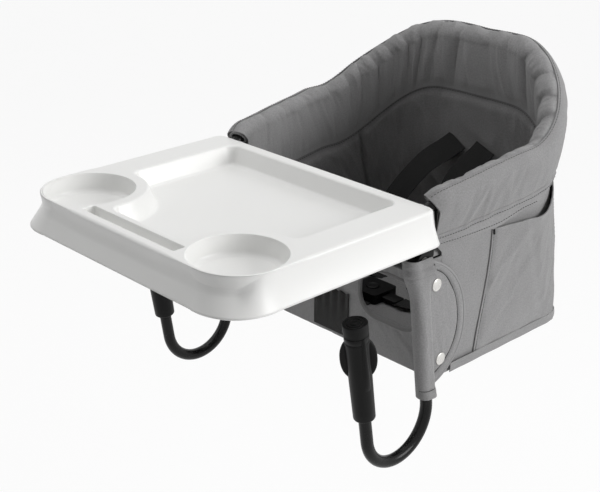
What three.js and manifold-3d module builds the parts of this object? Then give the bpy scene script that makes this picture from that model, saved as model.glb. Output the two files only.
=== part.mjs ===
// Hook-on table chair: a cloth bucket seat on a bent steel hoop, held to a table edge by two arms
// that lie on the table top and two J-shaped hooks that screw up under it, with a clip-on tray.
//
// Millimetres. +Z is up, -Y points over the table, +X is the right side seen from the table.
// The origin is on the table top, midway between the arms, at the table's edge.

import * as THREE from 'three';
import { mergeVertices } from 'three/addons/utils/BufferGeometryUtils.js';
import Module from 'manifold-3d';

const wasm = await Module();
wasm.setup();

// Steel frame
const tubeDiameter = 16;
const tubeWall = 1.5;
const armSpacing = 348;
const armBehindTrayFront = 124;
const armBackY = 50;
const armHeight = 12;
const hoopFrontOutside = 1;
const hoopFrontSpacing = armSpacing + 2 * hoopFrontOutside;
const hoopFrontBendRadius = 28;
const hoopLegY = 64;
const hoopLegBottom = -8;
const rimFrontOutside = 10;
const rimFrontSpacing = armSpacing + 2 * rimFrontOutside;
const rimBackOutside = 20;
const rimBackSpacing = armSpacing + 2 * rimBackOutside;
const rimFrontHeight = 52;
const rimCornerY = 225;
const rimCornerHeight = 70;
const rimBackY = 388;
const rimTopHeight = 164;

// Hooks and their pivots
const hookOutside = 22;
const hookSpacing = armSpacing + 2 * hookOutside;
const pivotY = 32.93;
const pivotZ = -10.34;
const hookBendRadius = 55;
const hookNeckLean = THREE.MathUtils.degToRad(9);
const hookLegLean = THREE.MathUtils.degToRad(8);
const hookLegLength = 205;
const hookNeckLength = 100;
const hookTubeBelowPivot = 9;
const pinDiameter = 8;
const pinHeadDiameter = 14;
const pinHeadThickness = 2.5;
const hubDiameter = 27;
const hubWidth = 19.6;
const hubSocketDiameter = 19.4;
const hubSocketLength = 34;
const washerThickness = 1;
const washerDiameter = 22;
const bracketWall = 3;
const bracketCornerRadius = 6;

// Screw clamps, with heights measured up the neck from the hook's bend
const studDiameter = 10;
const studInset = 12;
const studTop = 152;
const gripBottom = 38;
const gripTop = 165;
const gripBottomDiameter = 24.5;
const gripTopDiameter = 29;
const gripEdge = 2.5;
const gripThreadBottom = 113;
const gripThreadTop = 160;
const wingWidth = 45;
const wingHeight = 55;
const wingThickness = 5;
const wingCentreBelowTop = 38;
const wingAngle = THREE.MathUtils.degToRad(46);
const ribBottomWidth = 11;
const ribTopWidth = 5;
const ribProud = 2.2;
const ribLength = 74;
const ribAngle = THREE.MathUtils.degToRad(-12);
const padDiameter = 31;
const padThickness = 10;
const padSkirt = 6;
const padSkirtWall = 2.2;
const padEdge = 1;
const padGrooveDepth = 0.8;
const padGrooveWidth = 1.2;
const padGrooveRadii = [11.5, 7];

// Rubber covers and end caps on the arms
const armGripWidth = 28;
const armGripCornerRadius = 8;
const armGripBackY = 14;
const armCapFace = 5;
const armCapDiameter = 23;
const armCapDepth = 11;

// Tray
const trayOverhang = 26;
const trayWidth = armSpacing + 2 * trayOverhang;
const trayDepth = 324;
const trayBackY = 60;
const trayTop = 50;
const trayBottom = 6;
const trayFlare = 9;
const trayFrontCorner = 60;
const trayHemCorner = 48;
const trayBackCorner = 14;
const trayCornerSteps = 5;
const trayWall = 3;
const trayEdgeRadius = 4;
const recessSideInset = 46;
const recessHalfWidth = trayWidth / 2 - recessSideInset;
const recessBackInset = 18;
const recessFrontInset = 39;
const recessDepth = 25;
const recessCorner = 16;
const recessDraft = 8;
const cupLip = 2.5;
const cupRadius = trayFrontCorner - cupLip;
const cupDepth = 25;
const cupRing = 15.5;
const cupDraft = 3.5;
const slotLength = 174;
const slotWidth = 17;
const slotFrontInset = 13;
const slotDepth = 12;
const slotCorner = 2;
const saddleThickness = 4;
const saddleReach = 20;
const saddleBehindArmFront = 35;
const saddleBackY = -12;
const notchHeadroom = 6;

// Cloth seat
const clothThickness = 1.6;
const paddingThickness = 7;
const channelDepth = 1.5;
const channelShare = 0.3;
const channelWidthShare = 0.08;
const rimRollDiameter = 26;
const hemFrontHeight = -8;
const hemCornerHeight = 12;
const hemBackHeight = 34;
const seatBottom = -198;
const seatFrontY = 93;
const seatBottomOutside = 6;
const seatBottomWidth = armSpacing + 2 * seatBottomOutside;
const seatBottomCornerY = 308;
const seatBottomBackY = 380;
const liningBottom = -160;
const frontPanelTop = -36;
const frontPanelThickness = 5;
const frontPanelCorner = 20;
const crotchWidth = 100;
const legOpeningBottom = -146;
const legOpeningTop = -76;
const legOpeningSideInset = 24;
const legOpeningOuterX = seatBottomWidth / 2 - legOpeningSideInset;
const legOpeningCorner = 30;
const patchWidth = 66;
const patchTop = -128;
const patchBottom = -192;
const patchCorner = 4;
const boardThickness = 3;
const boardInset = 6;
const cushionInset = 8;
const cushionThickness = 24;
const cushionCrown = 5;
const cushionEdge = 8;
const pocketBelowHem = 10;
const pocketFrontY = 152;
const pocketBulge = 4;
const pocketFoldCount = 7;
const pocketFoldShare = 0.35;

// Snap flaps that wrap the rear legs of the hooks
const flapCloth = 1.4;
const flapTop = -5;
const flapAboveBend = 7.35;
const flapWidestHeight = -115;
const flapBackReach = 88;
const flapTopReach = 12;
const flapWrapRadius = 12.4;
const flapWrapAhead = 9.5;
const flapSlopeLength = 14;
const flapEvenRows = 6;
const flapLayerGap = 0.6;
const snapDiameter = 17;
const snapThickness = 1.6;
const snapEdge = 0.5;
const snapBehindLeg = 42;
const snapBelowFlapTop = 56;
const snapAboveFlapBottom = 36;

// Harness
const webWidth = 38;
const waistWebWidth = 25;
const webThickness = 1.8;
const strapSlotHeight = 16;
const strapSlotShare = 0.479;
const strapHangShare = 0.55;
const shoulderEndX = 44;
const shoulderEndY = 214;
const buckleWidth = 52;
const buckleLength = 48;
const buckleThickness = 14;
const buckleCorner = 6;
const buckleY = 168;
const buttonDiameter = 20;
const buttonProud = 2;
const buttonDepth = 4;
const buttonTravel = 2;
const tongueWidth = 20;
const tongueLength = 40;
const tongueInset = 14;
const tongueThickness = 4;
const crotchStrapFrontY = 112;
const waistStrapReach = 38;
const waistSteps = 16;
const waistSlotShare = 0.15;
const waistSlotHeight = -118;

// Clearances and mesh steps
const clearance = 0.3;
const clothClearance = 1;
const cutOverrun = 5;
const roundSides = 18;
const cupSides = 28;
const tubeSides = 10;
const boreSides = 6;

// Shares that shape the rim's curve
const rimSideShare = 0.154;
const rimLiftStartShare = 0.05;
const rimLiftEndShare = 0.85;
const panelSeamShare = 0.25;
const seamGapShare = 0.0008;
const rimSquareness = 2.4;
const bottomSquareness = 5;

// Places that follow from the sizes above
const tubeRadius = tubeDiameter / 2;
const armX = armSpacing / 2;
const hoopFrontX = hoopFrontSpacing / 2;
const hookX = hookSpacing / 2;
const leaning = (lean) => ({
  up: new THREE.Vector2(-Math.sin(lean), Math.cos(lean)),
  across: new THREE.Vector2(Math.cos(lean), Math.sin(lean)),
});
const leg = leaning(hookLegLean);
const neck = leaning(hookNeckLean);
const pivot = new THREE.Vector2(pivotY, pivotZ);
const legFoot = pivot.clone().addScaledVector(leg.up, -hookLegLength);
const bendCentre = legFoot.clone().addScaledVector(leg.across, -hookBendRadius);
const neckFoot = bendCentre.clone().addScaledVector(neck.across, -hookBendRadius);
const flapBottom = legFoot.y + flapAboveBend;
const snapUpperHeight = flapTop - snapBelowFlapTop;
const snapLowerHeight = flapBottom + snapAboveFlapBottom;
const discFoot = pivotZ - hubDiameter / 2;
const hubInside = hookX - hubWidth / 2;
const hubOutside = hookX + hubWidth / 2;
const bracketOutside = hubInside - washerThickness - 2 * clearance;
const bracketInside = hoopFrontX - tubeRadius - bracketWall;
const bracketTop = armHeight + tubeRadius + bracketWall;
const bracketBackY = hoopLegY + tubeRadius + bracketWall;
const trayFrontY = trayBackY - trayDepth;
const armFrontY = trayFrontY + armBehindTrayFront;
const saddleFrontY = armFrontY + saddleBehindArmFront;
const cupX = trayWidth / 2 - trayFrontCorner;
const cupY = trayFrontY + trayFrontCorner;
const rimRollRadius = rimRollDiameter / 2;
const rimStartY = hoopLegY + hoopFrontBendRadius;
const layerStep = clothThickness + clearance;
const floorTop = seatBottom - clearance;

const scene = new THREE.Group();

// Colours and gloss of the real surfaces
function finish(color, roughness, metalness = 0) {
  return new THREE.MeshStandardMaterial({ color, roughness, metalness });
}

const blackSteel = finish(0x1b1b1c, 0.32, 0.6);
const brightSteel = finish(0xc4c2be, 0.3, 1);
const blackPlastic = finish(0x232324, 0.55);
const blackRubber = finish(0x19191a, 0.85);
const whitePlastic = finish(0xeeeeea, 0.25);
const greyCloth = finish(0x8b8b8a, 0.9);
const greyLining = finish(0x757575, 0.95);
const blackCloth = finish(0x141414, 0.95);
const blackWebbing = finish(0x101011, 0.8);

function add(name, geometry, material, parent = scene) {
  const mesh = new THREE.Mesh(geometry, material);
  mesh.name = name;
  parent.add(mesh);
  return mesh;
}

const sides = [['right', 1], ['left', -1]];

// Small helpers

const mix = (a, b, t) => a + (b - a) * t;

const smooth = (t) => {
  const k = Math.min(Math.max(t, 0), 1);
  return k * k * (3 - 2 * k);
};

function facingOut(geometry) {
  const place = geometry.attributes.position;
  const [a, b, c] = [new THREE.Vector3(), new THREE.Vector3(), new THREE.Vector3()];
  const index = geometry.index.array;
  let volume = 0;
  for (let i = 0; i < index.length; i += 3) {
    a.fromBufferAttribute(place, index[i]);
    b.fromBufferAttribute(place, index[i + 1]);
    c.fromBufferAttribute(place, index[i + 2]);
    volume += a.dot(b.cross(c));
  }
  if (volume < 0) {
    for (let i = 0; i < index.length; i += 3) [index[i], index[i + 1]] = [index[i + 1], index[i]];
  }
  return geometry;
}

// A mesh with shared corners and only its places, without the slivers at poles
function bare(geometry) {
  const stripped = geometry.clone();
  for (const name of Object.keys(stripped.attributes)) {
    if (name !== 'position') stripped.deleteAttribute(name);
  }
  const merged = mergeVertices(stripped, 1e-4);
  const index = merged.index.array;
  const kept = [];
  for (let i = 0; i < index.length; i += 3) {
    const [a, b, c] = [index[i], index[i + 1], index[i + 2]];
    if (a !== b && b !== c && c !== a) kept.push(a, b, c);
  }
  merged.setIndex(kept);
  return facingOut(merged);
}

function solid(geometry) {
  const clean = bare(geometry);
  return new wasm.Manifold(new wasm.Mesh({
    numProp: 3,
    vertProperties: Float32Array.from(clean.attributes.position.array),
    triVerts: Uint32Array.from(clean.index.array),
  }));
}

function geometryOf(body) {
  const mesh = body.getMesh();
  const geometry = new THREE.BufferGeometry();
  geometry.setAttribute('position', new THREE.BufferAttribute(Float32Array.from(mesh.vertProperties), 3));
  geometry.setIndex(new THREE.BufferAttribute(Uint32Array.from(mesh.triVerts), 1));
  return geometry;
}

function cut(geometry, ...tools) {
  return geometryOf(tools.reduce((body, tool) => body.subtract(solid(tool)), solid(geometry)));
}

function meshOf(positions, index) {
  const geometry = new THREE.BufferGeometry();
  geometry.setAttribute('position', new THREE.Float32BufferAttribute(positions, 3));
  geometry.setIndex(index);
  return geometry;
}

// A closed body through rings of points, bottom to top, each ring with as many points as the last
function loft(rings) {
  const count = rings[0].length;
  const positions = rings.flat().flatMap((p) => [p.x, p.y, p.z]);
  const index = [];
  for (let r = 0; r + 1 < rings.length; r++) {
    for (let i = 0; i < count; i++) {
      const a = r * count + i;
      const b = r * count + (i + 1) % count;
      index.push(a, b, b + count, a, b + count, a + count);
    }
  }
  for (const r of [0, rings.length - 1]) {
    const centre = rings[r].reduce((sum, p) => sum.add(p), new THREE.Vector3()).divideScalar(count);
    const hub = positions.length / 3;
    positions.push(centre.x, centre.y, centre.z);
    for (let i = 0; i < count; i++) {
      const a = r * count + i;
      const b = r * count + (i + 1) % count;
      index.push(hub, r ? a : b, r ? b : a);
    }
  }
  return meshOf(positions, index);
}

// Places from 0 to 1, given as such or as a count of even steps
function stopsOf(steps) {
  if (Array.isArray(steps)) return steps;
  return Array.from({ length: steps + 1 }, (_, i) => i / steps);
}

// A sheet of cloth or padding: surface(u, v) is its middle, thickened to both sides
function sheet(surface, alongU, alongV, thickness) {
  const probe = 1e-3;
  const [stopsU, stopsV] = [stopsOf(alongU), stopsOf(alongV)];
  const [stepsU, stepsV] = [stopsU.length - 1, stopsV.length - 1];
  const positions = [];
  for (const side of [1, -1]) {
    for (let j = 0; j <= stepsV; j++) {
      for (let i = 0; i <= stepsU; i++) {
        const [u, v] = [stopsU[i], stopsV[j]];
        const across = surface(Math.min(1, u + probe), v).sub(surface(Math.max(0, u - probe), v));
        const down = surface(u, Math.min(1, v + probe)).sub(surface(u, Math.max(0, v - probe)));
        const normal = across.cross(down).normalize();
        const point = surface(u, v).addScaledVector(normal, side * thickness / 2);
        positions.push(point.x, point.y, point.z);
      }
    }
  }
  const row = stepsU + 1;
  const back = row * (stepsV + 1);
  const index = [];
  for (let j = 0; j < stepsV; j++) {
    for (let i = 0; i < stepsU; i++) {
      const a = j * row + i;
      const [b, c, d] = [a + 1, a + row + 1, a + row];
      index.push(a, b, c, a, c, d);
      index.push(back + a, back + c, back + b, back + a, back + d, back + c);
    }
  }
  const edge = [];
  for (let i = 0; i < stepsU; i++) edge.push(i);
  for (let j = 0; j < stepsV; j++) edge.push(j * row + stepsU);
  for (let i = stepsU; i > 0; i--) edge.push(stepsV * row + i);
  for (let j = stepsV; j > 0; j--) edge.push(j * row);
  edge.forEach((a, k) => {
    const b = edge[(k + 1) % edge.length];
    index.push(b, a, back + a, b, back + a, back + b);
  });
  return meshOf(positions, index);
}

// A curve that passes its points in order, so that a tube has one ring at each of them
class Route extends THREE.Curve {
  constructor(points) {
    super();
    this.points = points;
  }

  getPoint(t) {
    const last = this.points.length - 1;
    const place = Math.min(Math.max(t, 0), 1) * last;
    const before = Math.min(Math.floor(place + 1e-9), last - 1);
    return this.points[before].clone().lerp(this.points[before + 1], place - before);
  }

  getUtoTmapping(u) {
    return u;
  }
}

function ring(radius, count) {
  const points = [];
  for (let i = 0; i < count; i++) {
    const angle = 2 * Math.PI * i / count;
    points.push(new THREE.Vector2(radius * Math.cos(angle), radius * Math.sin(angle)));
  }
  return points;
}

function tube(points, radius, bore, sidesOfBore = boreSides) {
  const shape = new THREE.Shape(ring(radius, tubeSides));
  shape.holes.push(new THREE.Path(ring(bore, sidesOfBore)));
  return new THREE.ExtrudeGeometry(shape, { steps: points.length - 1, extrudePath: new Route(points) });
}

// A body turned about the Z axis, from [radius, height] pairs
function turned(profile, count = roundSides) {
  const points = profile.map(([radius, height]) => new THREE.Vector2(radius, height));
  return bare(new THREE.LatheGeometry(points, count).rotateX(Math.PI / 2));
}

// Round bars and bores along each axis
function barZ(radius, z0, z1, x = 0, y = 0) {
  const bar = new THREE.CylinderGeometry(radius, radius, z1 - z0, roundSides).rotateX(Math.PI / 2);
  return bar.translate(x, y, (z0 + z1) / 2);
}

function barY(radius, y0, y1, x, z) {
  const bar = new THREE.CylinderGeometry(radius, radius, y1 - y0, roundSides);
  return bar.translate(x, (y0 + y1) / 2, z);
}

function barX(radius, x0, x1, y, z) {
  const bar = new THREE.CylinderGeometry(radius, radius, Math.abs(x1 - x0), roundSides);
  return bar.rotateZ(Math.PI / 2).translate((x0 + x1) / 2, y, z);
}

function box(x0, y0, z0, x1, y1, z1) {
  const block = new THREE.BoxGeometry(Math.abs(x1 - x0), y1 - y0, z1 - z0);
  return block.translate((x0 + x1) / 2, (y0 + y1) / 2, (z0 + z1) / 2);
}

// Corner arcs joined by straight edges, counter-clockwise from the corner at x1, y1
function roundedRectangle(x0, y0, x1, y1, radii, steps = 4) {
  const [r1, r2, r3, r4] = Array.isArray(radii) ? radii : [radii, radii, radii, radii];
  const corners = [
    [x1 - r1, y1 - r1, r1], [x0 + r2, y1 - r2, r2],
    [x0 + r3, y0 + r3, r3], [x1 - r4, y0 + r4, r4],
  ];
  const points = [];
  corners.forEach(([x, y, radius], quarter) => {
    for (let i = 0; i <= steps; i++) {
      const angle = Math.PI / 2 * (quarter + i / steps);
      points.push(new THREE.Vector2(x + radius * Math.cos(angle), y + radius * Math.sin(angle)));
    }
  });
  return points;
}

const level = (points, z) => points.map((p) => new THREE.Vector3(p.x, p.y, z));

function prism(outline, depth, holes = []) {
  const shape = new THREE.Shape(outline);
  for (const hole of holes) shape.holes.push(new THREE.Path(hole));
  return new THREE.ExtrudeGeometry(shape, { depth, bevelEnabled: false });
}

// Prisms of outlines in the YZ and XZ planes
function prismX(outline, x0, x1) {
  const body = prism(outline, Math.abs(x1 - x0)).rotateX(Math.PI / 2).rotateZ(Math.PI / 2);
  return body.translate(Math.min(x0, x1), 0, 0);
}

function prismY(outline, y0, y1, holes) {
  return prism(outline, y1 - y0, holes).rotateX(Math.PI / 2).translate(0, y1, 0);
}

// The rim: the hoop's centre line behind its front bends. u runs from 0 at the right front, round
// the back, to 1 at the left front. The sides are straight and the back is a squared half ellipse.

function alongRim(u) {
  const mirrored = u > 0.5;
  const half = mirrored ? 1 - u : u;
  return {
    sign: mirrored ? -1 : 1,
    side: Math.min(half / rimSideShare, 1),
    turn: Math.max(half - rimSideShare, 0) / (0.5 - rimSideShare),
  };
}

function halfEllipse(width, depth, squareness, turn) {
  const angle = Math.min(turn, 1) * Math.PI / 2;
  const power = 2 / squareness;
  return [
    width / 2 * Math.max(Math.cos(angle), 0) ** power,
    depth * Math.max(Math.sin(angle), 0) ** power,
  ];
}

function rimAt(u) {
  const { sign, side, turn } = alongRim(u);
  const [backX, backY] = halfEllipse(rimBackSpacing, rimBackY - rimCornerY, rimSquareness, turn);
  const x = turn > 0 ? backX : mix(rimFrontSpacing, rimBackSpacing, side) / 2;
  const y = mix(rimStartY, rimCornerY, side) + backY;
  const rise = smooth((turn - rimLiftStartShare) / (rimLiftEndShare - rimLiftStartShare));
  const z = mix(mix(rimFrontHeight, rimCornerHeight, side), rimTopHeight, rise);
  return new THREE.Vector3(sign * x, y, z);
}

function bottomAt(u) {
  const { sign, side, turn } = alongRim(u);
  const depth = seatBottomBackY - seatBottomCornerY;
  const [backX, backY] = halfEllipse(seatBottomWidth, depth, bottomSquareness, turn);
  const y = mix(seatFrontY, seatBottomCornerY, side) + backY;
  return new THREE.Vector3(sign * backX, y, seatBottom);
}

function outwardAt(u, curve) {
  const probe = 0.004;
  const along = curve(Math.min(1, u + probe)).sub(curve(Math.max(0, u - probe)));
  return new THREE.Vector3(along.y, -along.x, 0).normalize();
}

// Height under the rim roll, which reaches lower where the rim climbs
function wallTop(u) {
  const probe = 0.004;
  const along = rimAt(Math.min(1, u + probe)).sub(rimAt(Math.max(0, u - probe))).normalize();
  return rimAt(u).z - (rimRollRadius + 2 * clearance) / Math.hypot(along.x, along.y);
}

// The bucket's wall at u along the rim and at a height, set off outwards
function wallAt(u, height, offset = 0) {
  const top = rimAt(u).setZ(wallTop(u));
  const v = (top.z - height) / (top.z - seatBottom);
  const out = outwardAt(u, rimAt).lerp(outwardAt(u, bottomAt), v).normalize();
  return top.lerp(bottomAt(u), v).addScaledVector(out, offset);
}

function hemHeight(u) {
  const { side, turn } = alongRim(u);
  return mix(mix(hemFrontHeight, hemCornerHeight, side), hemBackHeight, turn);
}

// Steel hoop: down-turned right end, rim, down-turned left end
const bendSteps = 6;

function frontBend(step) {
  const angle = Math.PI / 2 * step / bendSteps;
  return new THREE.Vector3(
    mix(hoopFrontX, rimFrontSpacing / 2, smooth(step / bendSteps)),
    rimStartY - hoopFrontBendRadius * Math.cos(angle),
    rimFrontHeight - hoopFrontBendRadius * (1 - Math.sin(angle)),
  );
}

const sideSteps = 3;
const backSteps = 12;

// Places along the rim where the hoop and all the cloth have their corners
function rimStops() {
  const stops = [];
  for (let i = 0; i < sideSteps; i++) stops.push(rimSideShare * i / sideSteps);
  for (let i = 0; i < backSteps; i++) stops.push(mix(rimSideShare, 0.5, i / backSteps));
  return [...stops, 0.5, ...stops.map((u) => 1 - u).reverse()];
}

function stopsBetween(u0, u1) {
  const inside = rimStops().filter((u) => u > u0 + seamGapShare && u < u1 - seamGapShare);
  return [u0, ...inside, u1].map((u) => (u - u0) / (u1 - u0));
}

function hoopPoints(firstBendStep, withLegs) {
  const end = [];
  if (withLegs) end.push(new THREE.Vector3(hoopFrontX, hoopLegY, hoopLegBottom));
  for (let step = firstBendStep; step < bendSteps; step++) end.push(frontBend(step));
  const mirrored = end.map((p) => new THREE.Vector3(-p.x, p.y, p.z)).reverse();
  return [...end, ...rimStops().map(rimAt), ...mirrored];
}

add('hoop_tube', tube(hoopPoints(0, true), tubeRadius, tubeRadius - tubeWall), blackSteel);

// Arms, with their rubber covers and end caps, and the brackets that join them to the hoop

function bracketBody(sign) {
  const [x0, x1] = [sign * bracketInside, sign * bracketOutside];
  const front = pivotY - hubDiameter / 2 - bracketWall;
  const outline = roundedRectangle(front, discFoot, bracketBackY, bracketTop, bracketCornerRadius);
  const bore = tubeRadius + clearance;
  return cut(
    prismX(outline, x0, x1),
    barY(bore, front - cutOverrun, armBackY + clearance, sign * armX, armHeight),
    barZ(bore, hoopLegBottom - clearance, bracketTop + cutOverrun, sign * hoopFrontX, hoopLegY),
    barX(pinDiameter / 2 + clearance, x0 - sign * cutOverrun, x1 + sign * cutOverrun, pivotY, pivotZ),
  );
}

function armGripBody(x) {
  const half = armGripWidth / 2;
  const outline = roundedRectangle(-half, -armHeight, half, armHeight, armGripCornerRadius);
  const bore = ring(tubeRadius + clearance, roundSides);
  const frontY = armFrontY + armCapDepth + clearance;
  return prismY(outline, frontY, armGripBackY, [bore]).translate(x, 0, armHeight);
}

function armCapBody(x) {
  const radius = armCapDiameter / 2;
  const bore = tubeRadius + clearance;
  const profile = [
    [0, clearance], [bore, clearance], [bore, -armCapDepth], [radius, -armCapDepth],
    [radius, armCapFace / 2], [radius - armCapFace / 2, armCapFace], [0, armCapFace],
  ];
  return turned(profile).rotateX(Math.PI / 2).translate(x, armFrontY, armHeight);
}

for (const [name, sign] of sides) {
  const x = sign * armX;
  const armEnds = [armBackY, armFrontY].map((y) => new THREE.Vector3(x, y, armHeight));
  add(`arm_tube_${name}`, tube(armEnds, tubeRadius, tubeRadius - tubeWall), blackSteel);
  add(`arm_cover_${name}`, armGripBody(x), blackRubber);
  add(`arm_end_cap_${name}`, armCapBody(x), blackPlastic);
  add(`hinge_bracket_${name}`, bracketBody(sign), blackPlastic);
}

// Hinge pins and washers

function pinBody(sign) {
  const innerHead = bracketInside - clearance - pinHeadThickness;
  const outerHead = hubOutside - pinHeadThickness;
  const shank = pinDiameter / 2;
  const head = pinHeadDiameter / 2;
  const profile = [
    [0, innerHead], [head, innerHead],
    [head, innerHead + pinHeadThickness], [shank, innerHead + pinHeadThickness],
    [shank, outerHead], [head, outerHead], [head, hubOutside], [0, hubOutside],
  ];
  return turned(profile).rotateY(sign * Math.PI / 2).translate(0, pivotY, pivotZ);
}

function washerBody(sign) {
  const x0 = sign * (bracketOutside + clearance);
  const x1 = sign * (bracketOutside + clearance + washerThickness);
  const disc = barX(washerDiameter / 2, x0, x1, pivotY, pivotZ);
  return cut(disc, barX(pinDiameter / 2 + clearance, x0 - sign, x1 + sign, pivotY, pivotZ));
}

// Hook hubs: a disc on the pin, with a socket for the tube's end

function hubBody(sign) {
  const [x0, x1] = [sign * hubInside, sign * hubOutside];
  const headFace = sign * (hubOutside - pinHeadThickness - clearance);
  const past = sign * cutOverrun;
  const socket = barZ(hubSocketDiameter / 2, -hubSocketLength, 0);
  const bore = barZ(tubeRadius + clearance, -hubSocketLength - cutOverrun, clearance - hookTubeBelowPivot);
  for (const part of [socket, bore]) part.rotateX(hookLegLean).translate(sign * hookX, pivotY, pivotZ);
  const body = solid(barX(hubDiameter / 2, x0, x1, pivotY, pivotZ)).add(solid(socket));
  return cut(
    geometryOf(body),
    bore,
    barX(pinDiameter / 2 + clearance, x0 - past, x1 + past, pivotY, pivotZ),
    barX(pinHeadDiameter / 2 + clearance, headFace, x1 + past, pivotY, pivotZ),
  );
}

function hookBody(sign) {
  const bendTurnSteps = 16;
  const at = (p) => new THREE.Vector3(sign * hookX, p.x, p.y);
  const points = [at(pivot.clone().addScaledVector(leg.up, -hookTubeBelowPivot))];
  for (let i = 0; i <= bendTurnSteps; i++) {
    const angle = mix(hookLegLean, hookNeckLean - Math.PI, i / bendTurnSteps);
    const arm = new THREE.Vector2(Math.cos(angle), Math.sin(angle)).multiplyScalar(hookBendRadius);
    points.push(at(bendCentre.clone().add(arm)));
  }
  points.push(at(neckFoot.clone().addScaledVector(neck.up, hookNeckLength)));
  return tube(points, tubeRadius, (studDiameter / 2 + clearance) / Math.cos(Math.PI / boreSides));
}

// Screw clamps, built up the neck's own axis

function gripBody(turn) {
  const low = gripBottomDiameter / 2;
  const high = gripTopDiameter / 2;
  const collarRadius = padDiameter / 2 - padSkirtWall - clearance;
  const collarBottom = gripTop - padSkirt - clearance;
  const outside = [
    [0, gripBottom], [low - gripEdge, gripBottom], [low, gripBottom + gripEdge], [high, collarBottom],
    [collarRadius, collarBottom], [collarRadius, gripTop], [0, gripTop],
  ];
  const wings = prismY(ellipse(wingWidth / 2, wingHeight / 2), -wingThickness / 2, wingThickness / 2);
  wings.translate(0, 0, gripTop - wingCentreBelowTop).rotateZ(turn * wingAngle);
  const parts = [wings, ribBody(collarBottom).rotateZ(turn * ribAngle)];
  parts.push(ribBody(collarBottom).rotateZ(Math.PI + turn * ribAngle));
  const body = parts.reduce((whole, part) => whole.add(solid(part)), solid(turned(outside)));
  return cut(
    geometryOf(body),
    barZ(tubeRadius + 2 * clearance, gripBottom - cutOverrun, gripThreadBottom),
    barZ(studDiameter / 2 + clearance, gripThreadBottom - cutOverrun, gripThreadTop),
  );
}

function ellipse(halfWidth, halfHeight) {
  return ring(1, roundSides).map((p) => new THREE.Vector2(p.x * halfWidth, p.y * halfHeight));
}

// A wedge along the grip, wide at its foot
function ribBody(top) {
  const bottom = top - ribLength;
  const taper = (gripTopDiameter - gripBottomDiameter) / 2;
  const lowRadius = gripTopDiameter / 2 - taper * ribLength / (gripTop - gripBottom);
  const section = (radius, width, z) => [
    new THREE.Vector3(radius, -width / 2, z), new THREE.Vector3(radius, width / 2, z),
    new THREE.Vector3(0, width / 2, z), new THREE.Vector3(0, -width / 2, z),
  ];
  return loft([
    section(lowRadius, ribBottomWidth, bottom),
    section(lowRadius + ribProud, ribBottomWidth, bottom + ribLength / 2),
    section(gripTopDiameter / 2 + ribProud, ribTopWidth, top - ribProud),
    section(gripTopDiameter / 2 - ribProud, ribTopWidth, top),
  ]);
}

function padBody() {
  const radius = padDiameter / 2;
  const top = gripTop + padThickness;
  const skirtInside = radius - padSkirtWall;
  const profile = [
    [0, gripTop + clearance], [skirtInside, gripTop + clearance], [skirtInside, gripTop - padSkirt],
    [radius, gripTop - padSkirt], [radius, top - padEdge], [radius - padEdge, top],
  ];
  for (const middle of padGrooveRadii) {
    profile.push([middle + padGrooveWidth / 2, top], [middle, top - padGrooveDepth]);
    profile.push([middle - padGrooveWidth / 2, top]);
  }
  profile.push([0, top]);
  return turned(profile);
}

for (const [name, sign] of sides) {
  add(`hinge_pin_${name}`, pinBody(sign), brightSteel);
  add(`hinge_washer_${name}`, washerBody(sign), blackPlastic);
  add(`hook_hub_${name}`, hubBody(sign), blackPlastic);
  add(`hook_tube_${name}`, hookBody(sign), blackSteel);

  const clamp = new THREE.Group();
  clamp.position.set(sign * hookX, neckFoot.x, neckFoot.y);
  clamp.rotation.x = hookNeckLean;
  scene.add(clamp);
  const studFoot = hookNeckLength - studInset + clearance;
  add(`clamp_stud_${name}`, barZ(studDiameter / 2, studFoot, studTop), brightSteel, clamp);
  add(`clamp_grip_${name}`, gripBody(sign), blackPlastic, clamp);
  add(`clamp_pad_${name}`, padBody(), blackRubber, clamp);
}

// Tray: a thin moulded shell with one main recess, two cup wells and a slot for a spoon

function trayRing(outset, z, flare = 0) {
  const half = trayWidth / 2 + outset;
  const front = mix(trayFrontCorner, trayHemCorner, flare) + outset;
  const back = trayBackCorner + outset;
  const corners = [back, back, front, front];
  const outline = roundedRectangle(
    -half, trayFrontY - outset, half, trayBackY + outset, corners, trayCornerSteps,
  );
  return level(outline, z);
}

// The skirt's profile as [height share from the rounded edge down to the hem, flare share]
const skirtShares = [[1, 1], [0.82, 0.6], [0.5, 0.25], [0, 0]];

function trayRings(inset) {
  const edgeZ = trayTop - trayEdgeRadius;
  const skirt = skirtShares.map(([drop, flare]) => {
    const z = mix(edgeZ, trayBottom, drop) - (inset && drop === 1 ? cutOverrun : 0);
    return trayRing(trayFlare * flare - inset, z, flare);
  });
  const roundedShares = [[0.35, 0.7], [1, 1]];
  const top = roundedShares.map(([inward, up]) => (
    trayRing(-trayEdgeRadius * inward - inset, edgeZ + (trayEdgeRadius - inset) * up)
  ));
  return [...skirt, ...top];
}

function recessBody(wall) {
  const x = recessHalfWidth + wall;
  const back = trayBackY - recessBackInset + wall;
  const front = trayFrontY + recessFrontInset - wall;
  const floor = trayTop - recessDepth - wall;
  const shape = (inset, z) => level(
    roundedRectangle(-x + inset, front + inset, x - inset, back - inset, recessCorner),
    z,
  );
  const body = loft([
    shape(recessDraft + recessDepth / 6, floor),
    shape(recessDraft, floor + recessDepth / 6),
    shape(0, trayTop),
    shape(0, trayTop + cutOverrun),
  ]);
  const ringRadius = cupRadius + cupRing - wall;
  const rings = sides.map(([, sign]) => (
    new THREE.CylinderGeometry(ringRadius, ringRadius + recessDraft, recessDepth + 2 * cutOverrun, cupSides)
      .rotateX(Math.PI / 2)
      .translate(sign * cupX, cupY, trayTop - recessDepth / 2)
  ));
  return cut(body, ...rings);
}

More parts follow.
